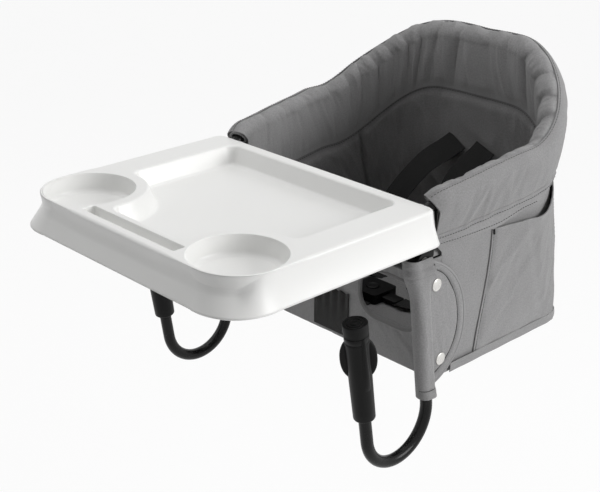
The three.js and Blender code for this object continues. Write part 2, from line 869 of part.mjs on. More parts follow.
function cupBody(sign, wall) {
  const radius = cupRadius + wall;
  const floor = trayTop - cupDepth - wall;
  return turned([
    [0, floor], [radius - cupDraft - cupDraft, floor], [radius - cupDraft, floor + cupDraft],
    [radius, trayTop], [radius, trayTop + cutOverrun], [0, trayTop + cutOverrun],
  ], cupSides).translate(sign * cupX, cupY, 0);
}

function slotBody(wall) {
  const half = slotLength / 2 + wall;
  const front = trayFrontY + slotFrontInset - wall;
  const back = front + slotWidth + 2 * wall;
  const outline = roundedRectangle(-half, front, half, back, slotCorner + wall, 3);
  return loft([level(outline, trayTop - slotDepth - wall), level(outline, trayTop + cutOverrun)]);
}

// A rib across the tray's hollow edge that sits over the arm's rubber cover
function saddle(sign, y) {
  const reach = armGripWidth / 2 + saddleReach;
  const plate = box(
    sign * (armX - reach), y - saddleThickness / 2, armHeight,
    sign * (armX + reach), y + saddleThickness / 2, trayTop - trayWall / 2,
  );
  const half = armGripWidth / 2 + clearance;
  const coverTop = 2 * armHeight + clearance;
  const channel = box(
    sign * (armX - half), y - saddleThickness, -cutOverrun,
    sign * (armX + half), y + saddleThickness, coverTop,
  );
  return solid(plate).subtract(solid(channel));
}

function trayBody() {
  const outside = solid(loft(trayRings(0)));
  const hollows = [0, trayWall].map((wall) => (
    [recessBody(wall), cupBody(1, wall), cupBody(-1, wall), slotBody(wall)].map(solid)
      .reduce((all, one) => all.add(one))
  ));
  const cavity = solid(loft(trayRings(trayWall))).subtract(hollows[1]);
  let body = outside.subtract(cavity);
  for (const [, sign] of sides) {
    for (const y of [saddleFrontY, saddleBackY]) body = body.add(saddle(sign, y).intersect(outside));
  }
  body = body.subtract(hollows[0]);
  for (const [, sign] of sides) {
    const notch = box(
      sign * (bracketInside - clothClearance), trayBackY - trayWall - cutOverrun, trayBottom - cutOverrun,
      sign * (rimFrontSpacing / 2 + tubeRadius + clothClearance), trayBackY + trayFlare + cutOverrun, trayTop - notchHeadroom,
    );
    body = body.subtract(solid(notch));
  }
  return geometryOf(body);
}

add('tray', trayBody(), whitePlastic);

// Cloth of the bucket

const fromFrontBend = 4;
const sleevePoints = hoopPoints(fromFrontBend, false);
add('rim_sleeve', tube(sleevePoints, rimRollRadius, tubeRadius + clothClearance, tubeSides), greyCloth);

const hemOffset = clothThickness / 2 + layerStep + clearance;
add('rim_hem', sheet((u, v) => {
  const rim = rimAt(u);
  const hemTopOffset = rimRollRadius + clothClearance + clothThickness / 2;
  const top = rim.clone().addScaledVector(outwardAt(u, rimAt), hemTopOffset);
  return top.lerp(wallAt(u, hemHeight(u), hemOffset), v);
}, rimStops(), 3, clothThickness), greyCloth);

// A panel of the wall from one place along the rim to another
function wallPanel(u0, u1, { bottom, offset, thickness, channel, heights }) {
  return sheet((s, t) => {
    const u = mix(u0, u1, s);
    const sunk = channel * Math.max(0, 1 - Math.abs(t - channelShare) / channelWidthShare);
    return wallAt(u, mix(wallTop(u), bottom, t), offset - sunk);
  }, stopsBetween(u0, u1), heights, thickness);
}

const cloth = { bottom: seatBottom, offset: 0, thickness: clothThickness, channel: 0, heights: 4 };
const channelStops = [channelShare - channelWidthShare, channelShare, channelShare + channelWidthShare];
const lining = {
  bottom: liningBottom,
  offset: -(clothThickness + paddingThickness) / 2 - 2 * clearance - channelDepth,
  thickness: paddingThickness,
  channel: -channelDepth,
  heights: [0, ...channelStops, mix(channelShare, 1, 0.6), 1],
};
const seamBefore = panelSeamShare - seamGapShare;
const seamAfter = panelSeamShare + seamGapShare;
for (const [kind, layer, material] of [['cloth', cloth, greyCloth], ['lining', lining, greyLining]]) {
  add(`side_${kind}_right`, wallPanel(0, seamBefore, layer), material);
  add(`side_${kind}_left`, wallPanel(1 - seamBefore, 1, layer), material);
  add(`back_${kind}`, wallPanel(seamAfter, 1 - seamAfter, layer), material);
}

function floorRing(inset, z) {
  const half = seatBottomWidth / 2;
  const depth = seatBottomBackY - seatFrontY;
  const points = [];
  const steps = 36;
  for (let i = 0; i <= steps; i++) {
    const p = bottomAt(i / steps);
    const y = seatFrontY + inset + (p.y - seatFrontY) * (depth - 2 * inset) / depth;
    points.push(new THREE.Vector3(p.x * (half - inset) / half, y, z));
  }
  return points;
}

add('bottom_cloth', loft([floorRing(0, floorTop - clothThickness), floorRing(0, floorTop)]), greyCloth);
const boardBottom = floorTop + clearance;
const boardTop = boardBottom + boardThickness;
const boardRings = [floorRing(boardInset, boardBottom), floorRing(boardInset, boardTop)];
add('seat_board', loft(boardRings), blackPlastic);

const cushionBottom = boardTop + clearance;
const cushionTop = cushionBottom + cushionThickness;
const cushionSideShares = [[0.3, 0], [0, 0.3], [0, 0.7], [1, 1]];
const crownShares = [[0.2, 0.55], [0.45, 1]];
add('seat_cushion', loft([
  ...cushionSideShares.map(([drawnIn, height]) => (
    floorRing(cushionInset + cushionEdge * drawnIn, mix(cushionBottom, cushionTop, height))
  )),
  ...crownShares.map(([inward, up]) => (
    floorRing(mix(cushionInset, seatBottomWidth / 2, inward), cushionTop + cushionCrown * up)
  )),
]), greyLining);

// Front panel with its two leg openings, and the black patch on its middle
const frontPanelBackY = seatFrontY - clothThickness - clearance;
const frontPanelFrontY = frontPanelBackY - frontPanelThickness;

function frontPanelBody() {
  const half = seatBottomWidth / 2 - clothThickness;
  const outline = roundedRectangle(-half, seatBottom, half, frontPanelTop,
    [frontPanelCorner, frontPanelCorner, clearance, clearance]);
  const opening = (sign) => {
    const [x0, x1] = [sign * crotchWidth / 2, sign * legOpeningOuterX].sort((a, b) => a - b);
    return roundedRectangle(x0, legOpeningBottom, x1, legOpeningTop, legOpeningCorner, 6);
  };
  return prismY(outline, frontPanelFrontY, frontPanelBackY, [opening(1), opening(-1)]);
}

add('front_panel', frontPanelBody(), greyCloth);
const patchOutline = roundedRectangle(-patchWidth / 2, patchBottom, patchWidth / 2, patchTop, patchCorner);
const patchBackY = frontPanelFrontY - clearance;
add('crotch_patch', prismY(patchOutline, patchBackY - clothThickness, patchBackY), blackCloth);

// Pocket round the back and the rear half of each side
const pocketFrontShare = rimSideShare * (pocketFrontY - rimStartY) / (rimCornerY - rimStartY);
add('rear_pocket', sheet((s, t) => {
  const u = mix(pocketFrontShare, 1 - pocketFrontShare, s);
  const folds = 1 + pocketFoldShare * Math.cos(2 * Math.PI * pocketFoldCount * s);
  const swell = Math.sin(Math.PI * t) * Math.sin(Math.PI * s) ** 0.5 * folds;
  const height = mix(hemHeight(u) - pocketBelowHem, seatBottom, t);
  return wallAt(u, height, layerStep + clearance / 2 + pocketBulge * swell);
}, stopsBetween(pocketFrontShare, 1 - pocketFrontShare), 4, clothThickness), greyCloth);

// Snap flaps. A flap's level section starts on the inner side of the leg, wraps its front and runs
// back along the outside to the side cloth. The distance along it is 0 where the wrap begins.

const legYAt = (z) => legFoot.x + (z - legFoot.y) * leg.up.x / leg.up.y;
const flapOuterX = hubOutside + clearance + clothClearance + flapCloth / 2;
const flapInnerX = flapOuterX - 2 * flapWrapRadius;
const flapLayerX = bracketOutside + flapLayerGap;
const wrapLength = Math.PI * flapWrapRadius;

const flapSteps = { inner: 3, wrap: 6, straight: 1, slope: 4, flat: 3 };
const flapStepCount = Object.values(flapSteps).reduce((sum, steps) => sum + steps);
const seamAt = (height) => wallAt(0, height).sub(new THREE.Vector3(0, clearance, 0));

function flapReach(height) {
  const half = flapWidestHeight - flapBottom;
  const drop = Math.min(Math.abs(height - flapWidestHeight) / half, 1);
  return Math.max(flapBackReach * Math.sqrt(1 - drop * drop), flapTopReach);
}

// Distances of the section's points at a height, closer together where it bends
function flapStops(height) {
  const aboveDisc = smooth(1 + (height - discFoot) / flapWrapRadius);
  const clearOfSocket = (hubSocketDiameter - tubeDiameter) / 2 + 2 * flapCloth;
  const clearOfDisc = hubDiameter / 2 + clothClearance;
  const slopeStart = wrapLength + flapWrapAhead + mix(clearOfSocket, clearOfDisc, aboveDisc);
  const end = wrapLength + flapWrapAhead + flapReach(height);
  const knots = [legYAt(height) - flapWrapAhead - seamAt(height).y, 0, wrapLength, slopeStart];
  knots.push(slopeStart + flapSlopeLength, end);
  const stops = [knots[0]];
  Object.values(flapSteps).forEach((steps, part) => {
    const [from, to] = [knots[part], knots[part + 1]].map((knot) => Math.min(knot, end));
    for (let i = 1; i <= steps; i++) stops.push(mix(from, to, i / steps));
  });
  return { stops, slopeStart };
}

function flapSection(share, height) {
  const { stops, slopeStart } = flapStops(height);
  const place = Math.min(share, 1) * flapStepCount;
  const before = Math.min(Math.floor(place), flapStepCount - 1);
  const distance = mix(stops[before], stops[before + 1], place - before);
  const wrapY = legYAt(height) - flapWrapAhead;
  if (distance < 0) return [mix(flapInnerX, seamAt(height).x, distance / stops[0]), wrapY - distance];
  if (distance < wrapLength) {
    const angle = Math.PI + distance / flapWrapRadius;
    const middleX = flapInnerX + flapWrapRadius;
    return [middleX + flapWrapRadius * Math.cos(angle), wrapY + flapWrapRadius * Math.sin(angle)];
  }
  const fall = smooth((distance - slopeStart) / flapSlopeLength);
  return [mix(flapOuterX, flapLayerX, fall), wrapY + distance - wrapLength];
}

// Rows of the flap: even ones up to where the hub's disc comes near, then one at the disc's foot
const flapShareAt = (height) => (height - flapBottom) / (flapTop - flapBottom);
const evenRows = stopsOf(flapEvenRows).map((t) => t * flapShareAt(discFoot - flapWrapRadius));
const flapRows = [...evenRows, flapShareAt(discFoot), 1];

function flapBody(sign) {
  const flap = sheet((s, t) => {
    const height = mix(flapBottom, flapTop, t);
    const [x, y] = flapSection(s, height);
    return new THREE.Vector3(sign * x, y, height);
  }, flapStepCount, flapRows, flapCloth);
  const bracketFront = pivotY - hubDiameter / 2 - bracketWall;
  const aroundBracket = box(
    sign * bracketInside, bracketFront - clothClearance, discFoot - clothClearance,
    sign * (hubInside + clothClearance), seatFrontY + cutOverrun, bracketTop,
  );
  return cut(flap, aroundBracket);
}

function snapBody(sign, height) {
  const radius = snapDiameter / 2;
  const profile = [
    [0, 0], [radius, 0], [radius, snapThickness - snapEdge],
    [radius - snapEdge, snapThickness], [0, snapThickness],
  ];
  const x = flapLayerX + flapCloth / 2 + clearance;
  const y = legYAt(height) + snapBehindLeg;
  return turned(profile).rotateY(sign * Math.PI / 2).translate(sign * x, y, height);
}

for (const [name, sign] of sides) {
  add(`hook_flap_${name}`, flapBody(sign), greyCloth);
  add(`snap_upper_${name}`, snapBody(sign, snapUpperHeight), brightSteel);
  add(`snap_lower_${name}`, snapBody(sign, snapLowerHeight), brightSteel);
}

// Harness

// A flat strap along a smooth route, its width square to the route and to the given direction
function ribbon(route, up, width, steps) {
  return sheet((s, t) => {
    const across = route.getTangent(s).cross(up).normalize();
    return route.getPoint(s).addScaledVector(across, width * (t - 0.5));
  }, steps, 1, webThickness);
}

const cushionHigh = cushionTop + cushionCrown;
const buckleBottom = cushionHigh + clearance;
const buckleTop = buckleBottom + buckleThickness;
const buckleMiddle = (buckleBottom + buckleTop) / 2;

function buckleBody() {
  const half = buckleWidth / 2;
  const [front, back] = [buckleY - buckleLength / 2, buckleY + buckleLength / 2];
  const outline = roundedRectangle(-half, front, half, back, buckleCorner);
  const block = loft([level(outline, buckleBottom), level(outline, buckleTop)]);
  const slots = sides.map(([, sign]) => box(
    sign * (half - tongueInset - clearance), buckleY - tongueWidth / 2 - clearance,
    buckleMiddle - tongueThickness / 2 - clearance,
    sign * (half + cutOverrun), buckleY + tongueWidth / 2 + clearance,
    buckleMiddle + tongueThickness / 2 + clearance,
  ));
  const pocketFloor = buckleTop - buttonDepth + buttonProud - buttonTravel - clearance;
  const pocket = barZ(buttonDiameter / 2 + clearance, pocketFloor, buckleTop + cutOverrun, 0, buckleY);
  return cut(block, ...slots, pocket);
}

add('buckle_body', buckleBody(), blackPlastic);
const buttonTop = buckleTop + buttonProud;
const button = barZ(buttonDiameter / 2, buttonTop - buttonDepth, buttonTop, 0, buckleY);
add('buckle_button', button, blackPlastic);

const up = new THREE.Vector3(0, 0, 1);
const slotOffset = lining.offset - paddingThickness / 2 - clearance;
const strapOffset = slotOffset - webThickness / 2 - clearance;
const strapRestZ = cushionHigh + webThickness / 2 + clearance;

// A shoulder strap hangs from its slot down the back lining, then lies forwards on the cushion
function shoulderStrap(sign) {
  const leaves = mix(strapSlotHeight, strapRestZ, strapHangShare);
  const middle = wallAt(strapSlotShare, leaves, strapOffset);
  const halfShare = webWidth / 2 / (2 * Math.PI * rimBackSpacing / 2);
  const foot = [
    middle,
    new THREE.Vector3(mix(middle.x, shoulderEndX, 0.5), middle.y - webWidth, strapRestZ + webWidth / 4),
    new THREE.Vector3(shoulderEndX, shoulderEndY, strapRestZ),
  ];
  const route = new THREE.QuadraticBezierCurve3(...foot);
  const surface = (s, t) => {
    const w = t - 0.5;
    if (s < strapHangShare) {
      const height = mix(strapSlotHeight, leaves, s / strapHangShare);
      return wallAt(strapSlotShare - 2 * w * halfShare, height, strapOffset);
    }
    const k = (s - strapHangShare) / (1 - strapHangShare);
    const edge = wallAt(strapSlotShare - 2 * w * halfShare, leaves, strapOffset).sub(middle);
    const flat = new THREE.Vector3(webWidth * w, 0, 0);
    return route.getPoint(k).add(edge.lerp(flat, smooth(3 * k)));
  };
  return sheet((s, t) => surface(s, t).multiply(new THREE.Vector3(sign, 1, 1)), 16, 2, webThickness);
}

for (const [name, sign] of sides) {
  const tongueFoot = sign * (buckleWidth / 2 - tongueInset);
  const tongueEnd = tongueFoot + sign * tongueLength;
  add(`buckle_tongue_${name}`, box(
    tongueFoot, buckleY - tongueWidth / 2, buckleMiddle - tongueThickness / 2,
    tongueEnd, buckleY + tongueWidth / 2, buckleMiddle + tongueThickness / 2,
  ), blackPlastic);
  add(`shoulder_strap_${name}`, shoulderStrap(sign), blackWebbing);

  const waistStart = new THREE.Vector3(tongueEnd + sign * 2 * clearance, buckleY, buckleMiddle);
  const share = sign > 0 ? waistSlotShare : 1 - waistSlotShare;
  const waistEnd = wallAt(share, waistSlotHeight, strapOffset - clearance);
  const leaving = waistStart.clone().setX(waistStart.x + sign * waistStrapReach).setZ(strapRestZ);
  const arriving = waistEnd.clone().addScaledVector(outwardAt(share, rimAt), -waistStrapReach).setZ(strapRestZ);
  const route = new THREE.CubicBezierCurve3(waistStart, leaving, arriving, waistEnd);
  add(`waist_strap_${name}`, ribbon(route, up, waistWebWidth, waistSteps), blackWebbing);
}

const crotchStrapStart = new THREE.Vector3(0, crotchStrapFrontY, cushionTop + webThickness);
const crotchStrapEnd = new THREE.Vector3(0, buckleY - buckleLength / 2 - clearance, strapRestZ);
const crotchRoute = new THREE.LineCurve3(crotchStrapStart, crotchStrapEnd);
add('crotch_strap', ribbon(crotchRoute, up, webWidth, 2), blackWebbing);

export default scene;
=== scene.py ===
# %% [markdown]
# # A hook-on table chair
# A child's seat that clamps to a table: a cloth bucket on a bent steel hoop, two arms that lie on
# the table, two hooks with screw clamps that press up from below, and a white moulded tray.
# The measured frame is loaded first. Every piece below is built in the same place and in metres.

# %% Load the measured frame
import math
import bmesh
import bpy
import numpy as np
from mathutils import Matrix, Vector, geometry, noise


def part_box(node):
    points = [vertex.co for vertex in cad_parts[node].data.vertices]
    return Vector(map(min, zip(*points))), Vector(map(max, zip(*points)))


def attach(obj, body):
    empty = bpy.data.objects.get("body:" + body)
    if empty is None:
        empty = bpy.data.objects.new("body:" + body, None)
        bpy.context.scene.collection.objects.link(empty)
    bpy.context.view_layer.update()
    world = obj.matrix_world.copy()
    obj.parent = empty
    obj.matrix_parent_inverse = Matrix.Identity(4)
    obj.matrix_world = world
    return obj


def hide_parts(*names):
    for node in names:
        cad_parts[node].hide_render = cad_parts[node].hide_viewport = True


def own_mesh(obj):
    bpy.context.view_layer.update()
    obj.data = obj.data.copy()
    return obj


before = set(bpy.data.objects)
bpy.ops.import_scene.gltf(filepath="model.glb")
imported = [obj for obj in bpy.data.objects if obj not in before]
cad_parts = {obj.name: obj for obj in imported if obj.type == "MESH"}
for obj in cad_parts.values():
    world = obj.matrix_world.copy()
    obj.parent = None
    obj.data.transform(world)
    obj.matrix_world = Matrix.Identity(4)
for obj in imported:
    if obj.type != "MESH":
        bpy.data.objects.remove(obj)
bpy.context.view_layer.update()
SIDES = (("right", 1), ("left", -1))

# %% [markdown]
# The camera stands where the photographer's did: right of the chair, a little above it, with a
# long lens. Its place was worked out from the tray's corners, so it is given as three directions
# and a point. A camera in Blender looks along its own -Z, so the third column is turned round.

# %% Camera
LENS_PIXELS = 1230.97
PICTURE_WIDTH = 600
camera_place = (1.07598, -1.00734, 0.57617)
to_right = Vector((0.689711, 0.724046, 0.007483))
to_top = Vector((-0.284956, 0.261914, 0.922064))
looking = Vector((-0.665657, 0.638089, -0.386966))
camera = bpy.data.objects.new("camera", bpy.data.cameras.new("camera"))
bpy.context.scene.collection.objects.link(camera)
facing = Matrix((to_right, to_top, -looking)).transposed().to_4x4()
camera.matrix_world = Matrix.Translation(camera_place) @ facing
camera.data.sensor_width = 36
camera.data.lens = LENS_PIXELS / PICTURE_WIDTH * camera.data.sensor_width
bpy.context.scene.camera = camera
print("lens:", round(camera.data.lens, 1), "mm")

# %% [markdown]
# The chair hangs from a table that isn't shown, so the floor lies a table's height below it. It
# curves up behind the chair like a photographer's paper roll. Seen straight on it is nearly white,
# and it still takes a soft shadow, because a part of its colour is a plain matt surface.

# %% Floor
FLOOR_HEIGHT = -0.75
BACKDROP_DISTANCE, BACKDROP_BEND, BACKDROP_TOP = 4.5, 1.5, 6.0
BACKDROP_NEAR, BACKDROP_HALF = -9.0, 9.0
WHITE = (1, 1, 1, 1)


def link(obj):
    bpy.context.scene.collection.objects.link(obj)
    return obj


def backdrop():
    profile = [(BACKDROP_NEAR, FLOOR_HEIGHT), (BACKDROP_DISTANCE - BACKDROP_BEND, FLOOR_HEIGHT)]
    for angle in np.linspace(0, math.pi / 2, 17)[1:]:
        profile.append((BACKDROP_DISTANCE - BACKDROP_BEND * (1 - math.sin(angle)),
                        FLOOR_HEIGHT + BACKDROP_BEND * (1 - math.cos(angle))))
    profile.append((BACKDROP_DISTANCE, BACKDROP_TOP))
    away = Vector((looking.x, looking.y, 0)).normalized()
    across = Vector((-away.y, away.x, 0))
    points, faces = [], []
    for along, height in profile:
        for side in (-BACKDROP_HALF, BACKDROP_HALF):
            points.append(away * along + across * side + Vector((0, 0, height)))
    for i in range(0, len(points) - 2, 2):
        faces.append((i, i + 1, i + 3, i + 2))
    mesh = bpy.data.meshes.new("floor")
    mesh.from_pydata(points, [], faces)
    mesh.polygons.foreach_set("use_smooth", [True] * len(faces))
    return link(bpy.data.objects.new("floor", mesh))


floor = backdrop()
print("floor faces:", len(floor.data.polygons))

# %% [markdown]
# The paper must look nearly white without lighting the chair from behind. So its shader has two
# parts: plain white for the camera, for mirrors and for clear things, and a matt surface for all
# other light. Nodes are added through one small helper, here and for every material below.

# %% White paper
def add_node(tree, kind, inputs=None, **settings):
    """A node with its settings. Each input is given as a plain value or as the socket it hangs on."""
    made = tree.nodes.new(kind)
    for name, value in settings.items():
        setattr(made, name, value)
    for socket, value in (inputs or {}).items():
        if isinstance(value, bpy.types.NodeSocket):
            tree.links.new(value, made.inputs[socket])
        else:
            made.inputs[socket].default_value = value
    return made


def math_node(tree, operation, *values):
    return add_node(tree, "ShaderNodeMath", dict(enumerate(values)), operation=operation).outputs[0]


def shows_white(tree, shader, share, output):
    """Mixes a plain white into a shader, for the camera, mirrors and clear things alone."""
    rays = add_node(tree, "ShaderNodeLightPath").outputs
    seen = math_node(tree, "MAXIMUM", rays["Is Camera Ray"], rays["Is Glossy Ray"])
    seen = math_node(tree, "MAXIMUM", seen, rays["Is Transmission Ray"])
    kind = "ShaderNodeBackground" if shader.type == "BACKGROUND" else "ShaderNodeEmission"
    white = add_node(tree, kind, {"Color": WHITE, "Strength": 1.0})
    both = {0: math_node(tree, "MULTIPLY", seen, share), 1: shader.outputs[0], 2: white.outputs[0]}
    mixed = add_node(tree, "ShaderNodeMixShader", both)
    tree.links.new(mixed.outputs[0], tree.nodes[output].inputs["Surface"])


def floor_material():
    material = bpy.data.materials.new("pale_floor")
    material.use_nodes = True
    matt = material.node_tree.nodes["Principled BSDF"]
    matt.inputs["Base Color"].default_value = (0.93, 0.93, 0.93, 1)
    matt.inputs["Roughness"].default_value = 0.9
    shows_white(material.node_tree, matt, 0.9, "Material Output")
    return material


floor.data.materials.append(floor_material())
print("staged:", floor.name)

# %% [markdown]
# Three soft lamps stand for the photographer's: a key on the right, a weak fill on the left and a
# large one from above. The world adds a little even light, so no shadow is quite black.

# %% Lamps
def area_light(name, place, target, size, power):
    data = bpy.data.lights.new(name, "AREA")
    data.shape = "RECTANGLE"
    data.size, data.size_y = size
    data.energy = power
    lamp = link(bpy.data.objects.new(name, data))
    lamp.location = place
    lamp.rotation_euler = (Vector(target) - Vector(place)).to_track_quat("-Z", "Y").to_euler()


world = bpy.data.worlds.new("studio")
bpy.context.scene.world = world
world.use_nodes = True
sky = world.node_tree.nodes["Background"]
sky.inputs["Color"].default_value = WHITE
sky.inputs["Strength"].default_value = 0.26
shows_white(world.node_tree, sky, 1.0, "World Output")
CHAIR_MIDDLE = (0, 0.05, 0)
area_light("key", (2.25, 1.15, 0.85), CHAIR_MIDDLE, (1.5, 1.3), 48)
area_light("fill", (-1.9, -1.1, 1.5), CHAIR_MIDDLE, (1.8, 1.2), 9)
area_light("top", (-0.4, 0.2, 2.6), CHAIR_MIDDLE, (2.0, 2.0), 32)
bpy.context.scene.view_settings.view_transform = "Standard"
print("floor", FLOOR_HEIGHT, "m below the table top, lamps:", len(bpy.data.lights))

# %% [markdown]
# All pieces are nets of points in millimetres, made with numpy, and turned into meshes here. A net
# that closes on itself should have a positive volume: where it comes out negative its faces point
# inwards, so they are turned round. The UV map is the cloth's own flat size in metres, so a weave
# keeps its scale on every piece.

# %% Meshes from points
TO_METRES = 0.001
SHARP_EDGE = math.radians(48)


def signed_volume(points, faces):
    total = 0.0
    by_size = {}
    for face in faces:
        by_size.setdefault(len(face), []).append(face)
    for size, alike in by_size.items():
        corners = points[np.array(alike)]
        for k in range(1, size - 1):
            total += np.einsum("ij,ij->i", corners[:, 0], np.cross(corners[:, k], corners[:, k + 1])).sum()
    return total / 6


def piece(name, points, faces, uv=None, closed=True, smooth=True):
    points = np.asarray(points, float)
    faces = [tuple(int(i) for i in face) for face in faces]
    if closed and signed_volume(points, faces) < 0:
        faces = [face[::-1] for face in faces]
    mesh = bpy.data.meshes.new(name)
    mesh.from_pydata((points * TO_METRES).tolist(), [], faces)
    mesh.polygons.foreach_set("use_smooth", [smooth] * len(mesh.polygons))
    mesh.set_sharp_from_angle(angle=SHARP_EDGE)
    if uv is not None:
        set_uv(mesh, mesh.uv_layers.new(name="cloth"), np.asarray(uv))
    return link(bpy.data.objects.new(name, mesh))


def set_uv(mesh, layer, flat):
    """Gives each corner of a mesh the flat place of its point, from millimetres."""
    corners = np.empty(len(mesh.loops), int)
    mesh.loops.foreach_get("vertex_index", corners)
    layer.data.foreach_set("uv", (flat[corners] * TO_METRES).ravel())


def net_faces(rows, columns, wrap=False):
    faces = []
    for start in range(0, (rows - 1) * columns, columns):
        for j in range(columns if wrap else columns - 1):
            k = (j + 1) % columns
            faces.append((start + j, start + k, start + columns + k, start + columns + j))
    return faces


def closing_faces(start, sides):
    """Faces from the last ring of a closed tube of rings back to its first."""
    return [(start + i, start + (i + 1) % sides, (i + 1) % sides, i) for i in range(sides)]


def joined(name, parts, smooth=True):
    """One piece from several lists of points and faces, each a closed body of its own."""
    points, faces = [], []
    for more, its_faces in parts:
        more = np.asarray(more, float)
        if signed_volume(more, its_faces) < 0:
            its_faces = [tuple(face)[::-1] for face in its_faces]
        start = sum(len(p) for p in points)
        faces += [tuple(i + start for i in face) for face in its_faces]
        points.append(more)
    return piece(name, np.concatenate(points), faces, closed=False, smooth=smooth)


print("one unit of these points is", TO_METRES, "m")

# %% [markdown]
# The same few surface effects come back on many pieces, so each is a node group that is built
# once: a plain weave for cloth and webbing, and a fine grain with faint mottling for moulded
# plastic, rubber and powder-coated steel. A group gives out heights and masks, and each material
# decides what to do with them.

# %% Shared effects
def effect_group(name, scales, masks_of):
    """A node group that takes a place and some scales, and gives out the masks made from them."""
    tree = bpy.data.node_groups.new(name, "ShaderNodeTree")
    socket = tree.interface.new_socket
    socket("Position", in_out="INPUT", socket_type="NodeSocketVector")
    for label, value in scales.items():
        socket(label, in_out="INPUT", socket_type="NodeSocketFloat").default_value = value
    masks = masks_of(tree, tree.nodes.new("NodeGroupInput").outputs)
    for label in masks:
        socket(label, in_out="OUTPUT", socket_type="NodeSocketFloat")
    add_node(tree, "NodeGroupOutput", masks)
    return tree


def spread(tree, *numbers):
    """Maps a value from one range to another: the value, from low and high, to low and high."""
    return add_node(tree, "ShaderNodeMapRange", dict(enumerate(numbers))).outputs[0]


def noise_node(tree, position, scale, detail=2.0, roughness=0.5):
    inputs = {"Vector": position, "Scale": scale, "Detail": detail, "Roughness": roughness}
    return add_node(tree, "ShaderNodeTexNoise", inputs).outputs["Fac"]


def weave_masks(tree, given):
    """Threads that cross, the heather of mixed yarn, and soft clouds of a lighter colour."""
    inputs = {"Vector": given["Position"], "Scale": given["Thread scale"], "Distortion": 0.6, "Detail": 1.0}
    bands = [add_node(tree, "ShaderNodeTexWave", inputs, bands_direction=direction).outputs["Fac"]
             for direction in ("X", "Y")]
    fine = noise_node(tree, given["Position"], given["Slub scale"], 3.0, 0.65)
    return {"Threads": math_node(tree, "MAXIMUM", *bands), "Heather": spread(tree, fine, 0.3, 0.7, 0, 1),
            "Clouds": noise_node(tree, given["Position"], 14.0)}


def grain_masks(tree, given):
    """The fine grain of a mould or a powder coat, and the faint mottling of handling."""
    stretched = add_node(tree, "ShaderNodeMapping", {
        "Vector": given["Position"], "Scale": (60.0, 420.0, 60.0), "Rotation": (0.3, 0.2, 0.7)})
    lines = noise_node(tree, stretched.outputs[0], 1.0, 3.0, 0.7)
    return {"Grain": noise_node(tree, given["Position"], given["Grain scale"], 2.0, 0.6),
            "Handling": noise_node(tree, given["Position"], 22.0, 4.0, 0.6),
            "Scuffs": spread(tree, lines, 0.62, 0.74, 0, 1)}


WEAVE = effect_group("plain_weave", {"Thread scale": 300.0, "Slub scale": 420.0}, weave_masks)
GRAIN = effect_group("fine_grain", {"Grain scale": 900.0}, grain_masks)
print("effects:", [tree.name for tree in bpy.data.node_groups])

# %% [markdown]
# Each material starts from the Principled shader with its plain numbers typed on the sockets. The
# groups then vary the colour and the roughness a little, and give a bump of a real height.

# %% Materials
def shader_of(material):
    return material.node_tree.nodes["Principled BSDF"]


def plain_material(name, roughness, metallic=0.0, **sockets):
    material = bpy.data.materials.new(name)
    material.use_nodes = True
    for label, value in {"Roughness": roughness, "Metallic": metallic, **sockets}.items():
        shader_of(material).inputs[label.replace("_", " ")].default_value = value
    return material


def use_effect(material, effect, coordinates, scale_name, scale):
    tree = material.node_tree
    where = add_node(tree, "ShaderNodeTexCoord").outputs[coordinates]
    made = add_node(tree, "ShaderNodeGroup", node_tree=effect)
    tree.links.new(where, made.inputs["Position"])
    made.inputs[scale_name].default_value = scale
    return made.outputs


def finish_shader(material, colours, mask, roughness, height, relief):
    """Joins the masks to the shader: a mixed colour, a roughness, and a bump of a real height."""
    tree = material.node_tree
    dark, light = colours
    mixed = add_node(tree, "ShaderNodeMix", {0: mask, "A": (*dark, 1), "B": (*light, 1)}, data_type="RGBA")
    raised = add_node(tree, "ShaderNodeBump", {"Distance": relief, "Strength": 1.0, "Height": height})
    shader = shader_of(material)
    tree.links.new(mixed.outputs["Result"], shader.inputs["Base Color"])
    tree.links.new(roughness, shader.inputs["Roughness"])
    tree.links.new(raised.outputs[0], shader.inputs["Normal"])
    return material


def cloth_material(name, dark, light, roughness, sheen, threads, relief):
    material = plain_material(name, roughness, Sheen_Weight=sheen, Sheen_Roughness=0.45,
                              Specular_IOR_Level=0.25)
    tree = material.node_tree
    masks = use_effect(material, WEAVE, "UV", "Thread scale", threads)
    soft = math_node(tree, "MULTIPLY", masks["Heather"], 0.55)
    cloudy = math_node(tree, "MULTIPLY", masks["Clouds"], 0.45)
    uneven = spread(tree, masks["Clouds"], 0.3, 0.7, roughness - 0.05, roughness + 0.06)
    mask = math_node(tree, "ADD", soft, cloudy)
    height = math_node(tree, "ADD", masks["Threads"], masks["Heather"])
    return finish_shader(material, (dark, light), mask, uneven, height, relief)


def moulded_material(name, dark, light, roughness, grain, relief,
                     metallic=0.0, scuffs=0.12, uneven=0.055, **sockets):
    material = plain_material(name, roughness, metallic, **sockets)
    tree = material.node_tree
    masks = use_effect(material, GRAIN, "Object", "Grain scale", grain)
    worn = math_node(tree, "MULTIPLY", masks["Scuffs"], scuffs)
    base = spread(tree, masks["Handling"], 0.2, 0.8, roughness - uneven, roughness + uneven)
    rough = math_node(tree, "ADD", base, worn)
    return finish_shader(material, (dark, light), masks["Handling"], rough, masks["Grain"], relief)


print("builders: cloth_material and moulded_material")
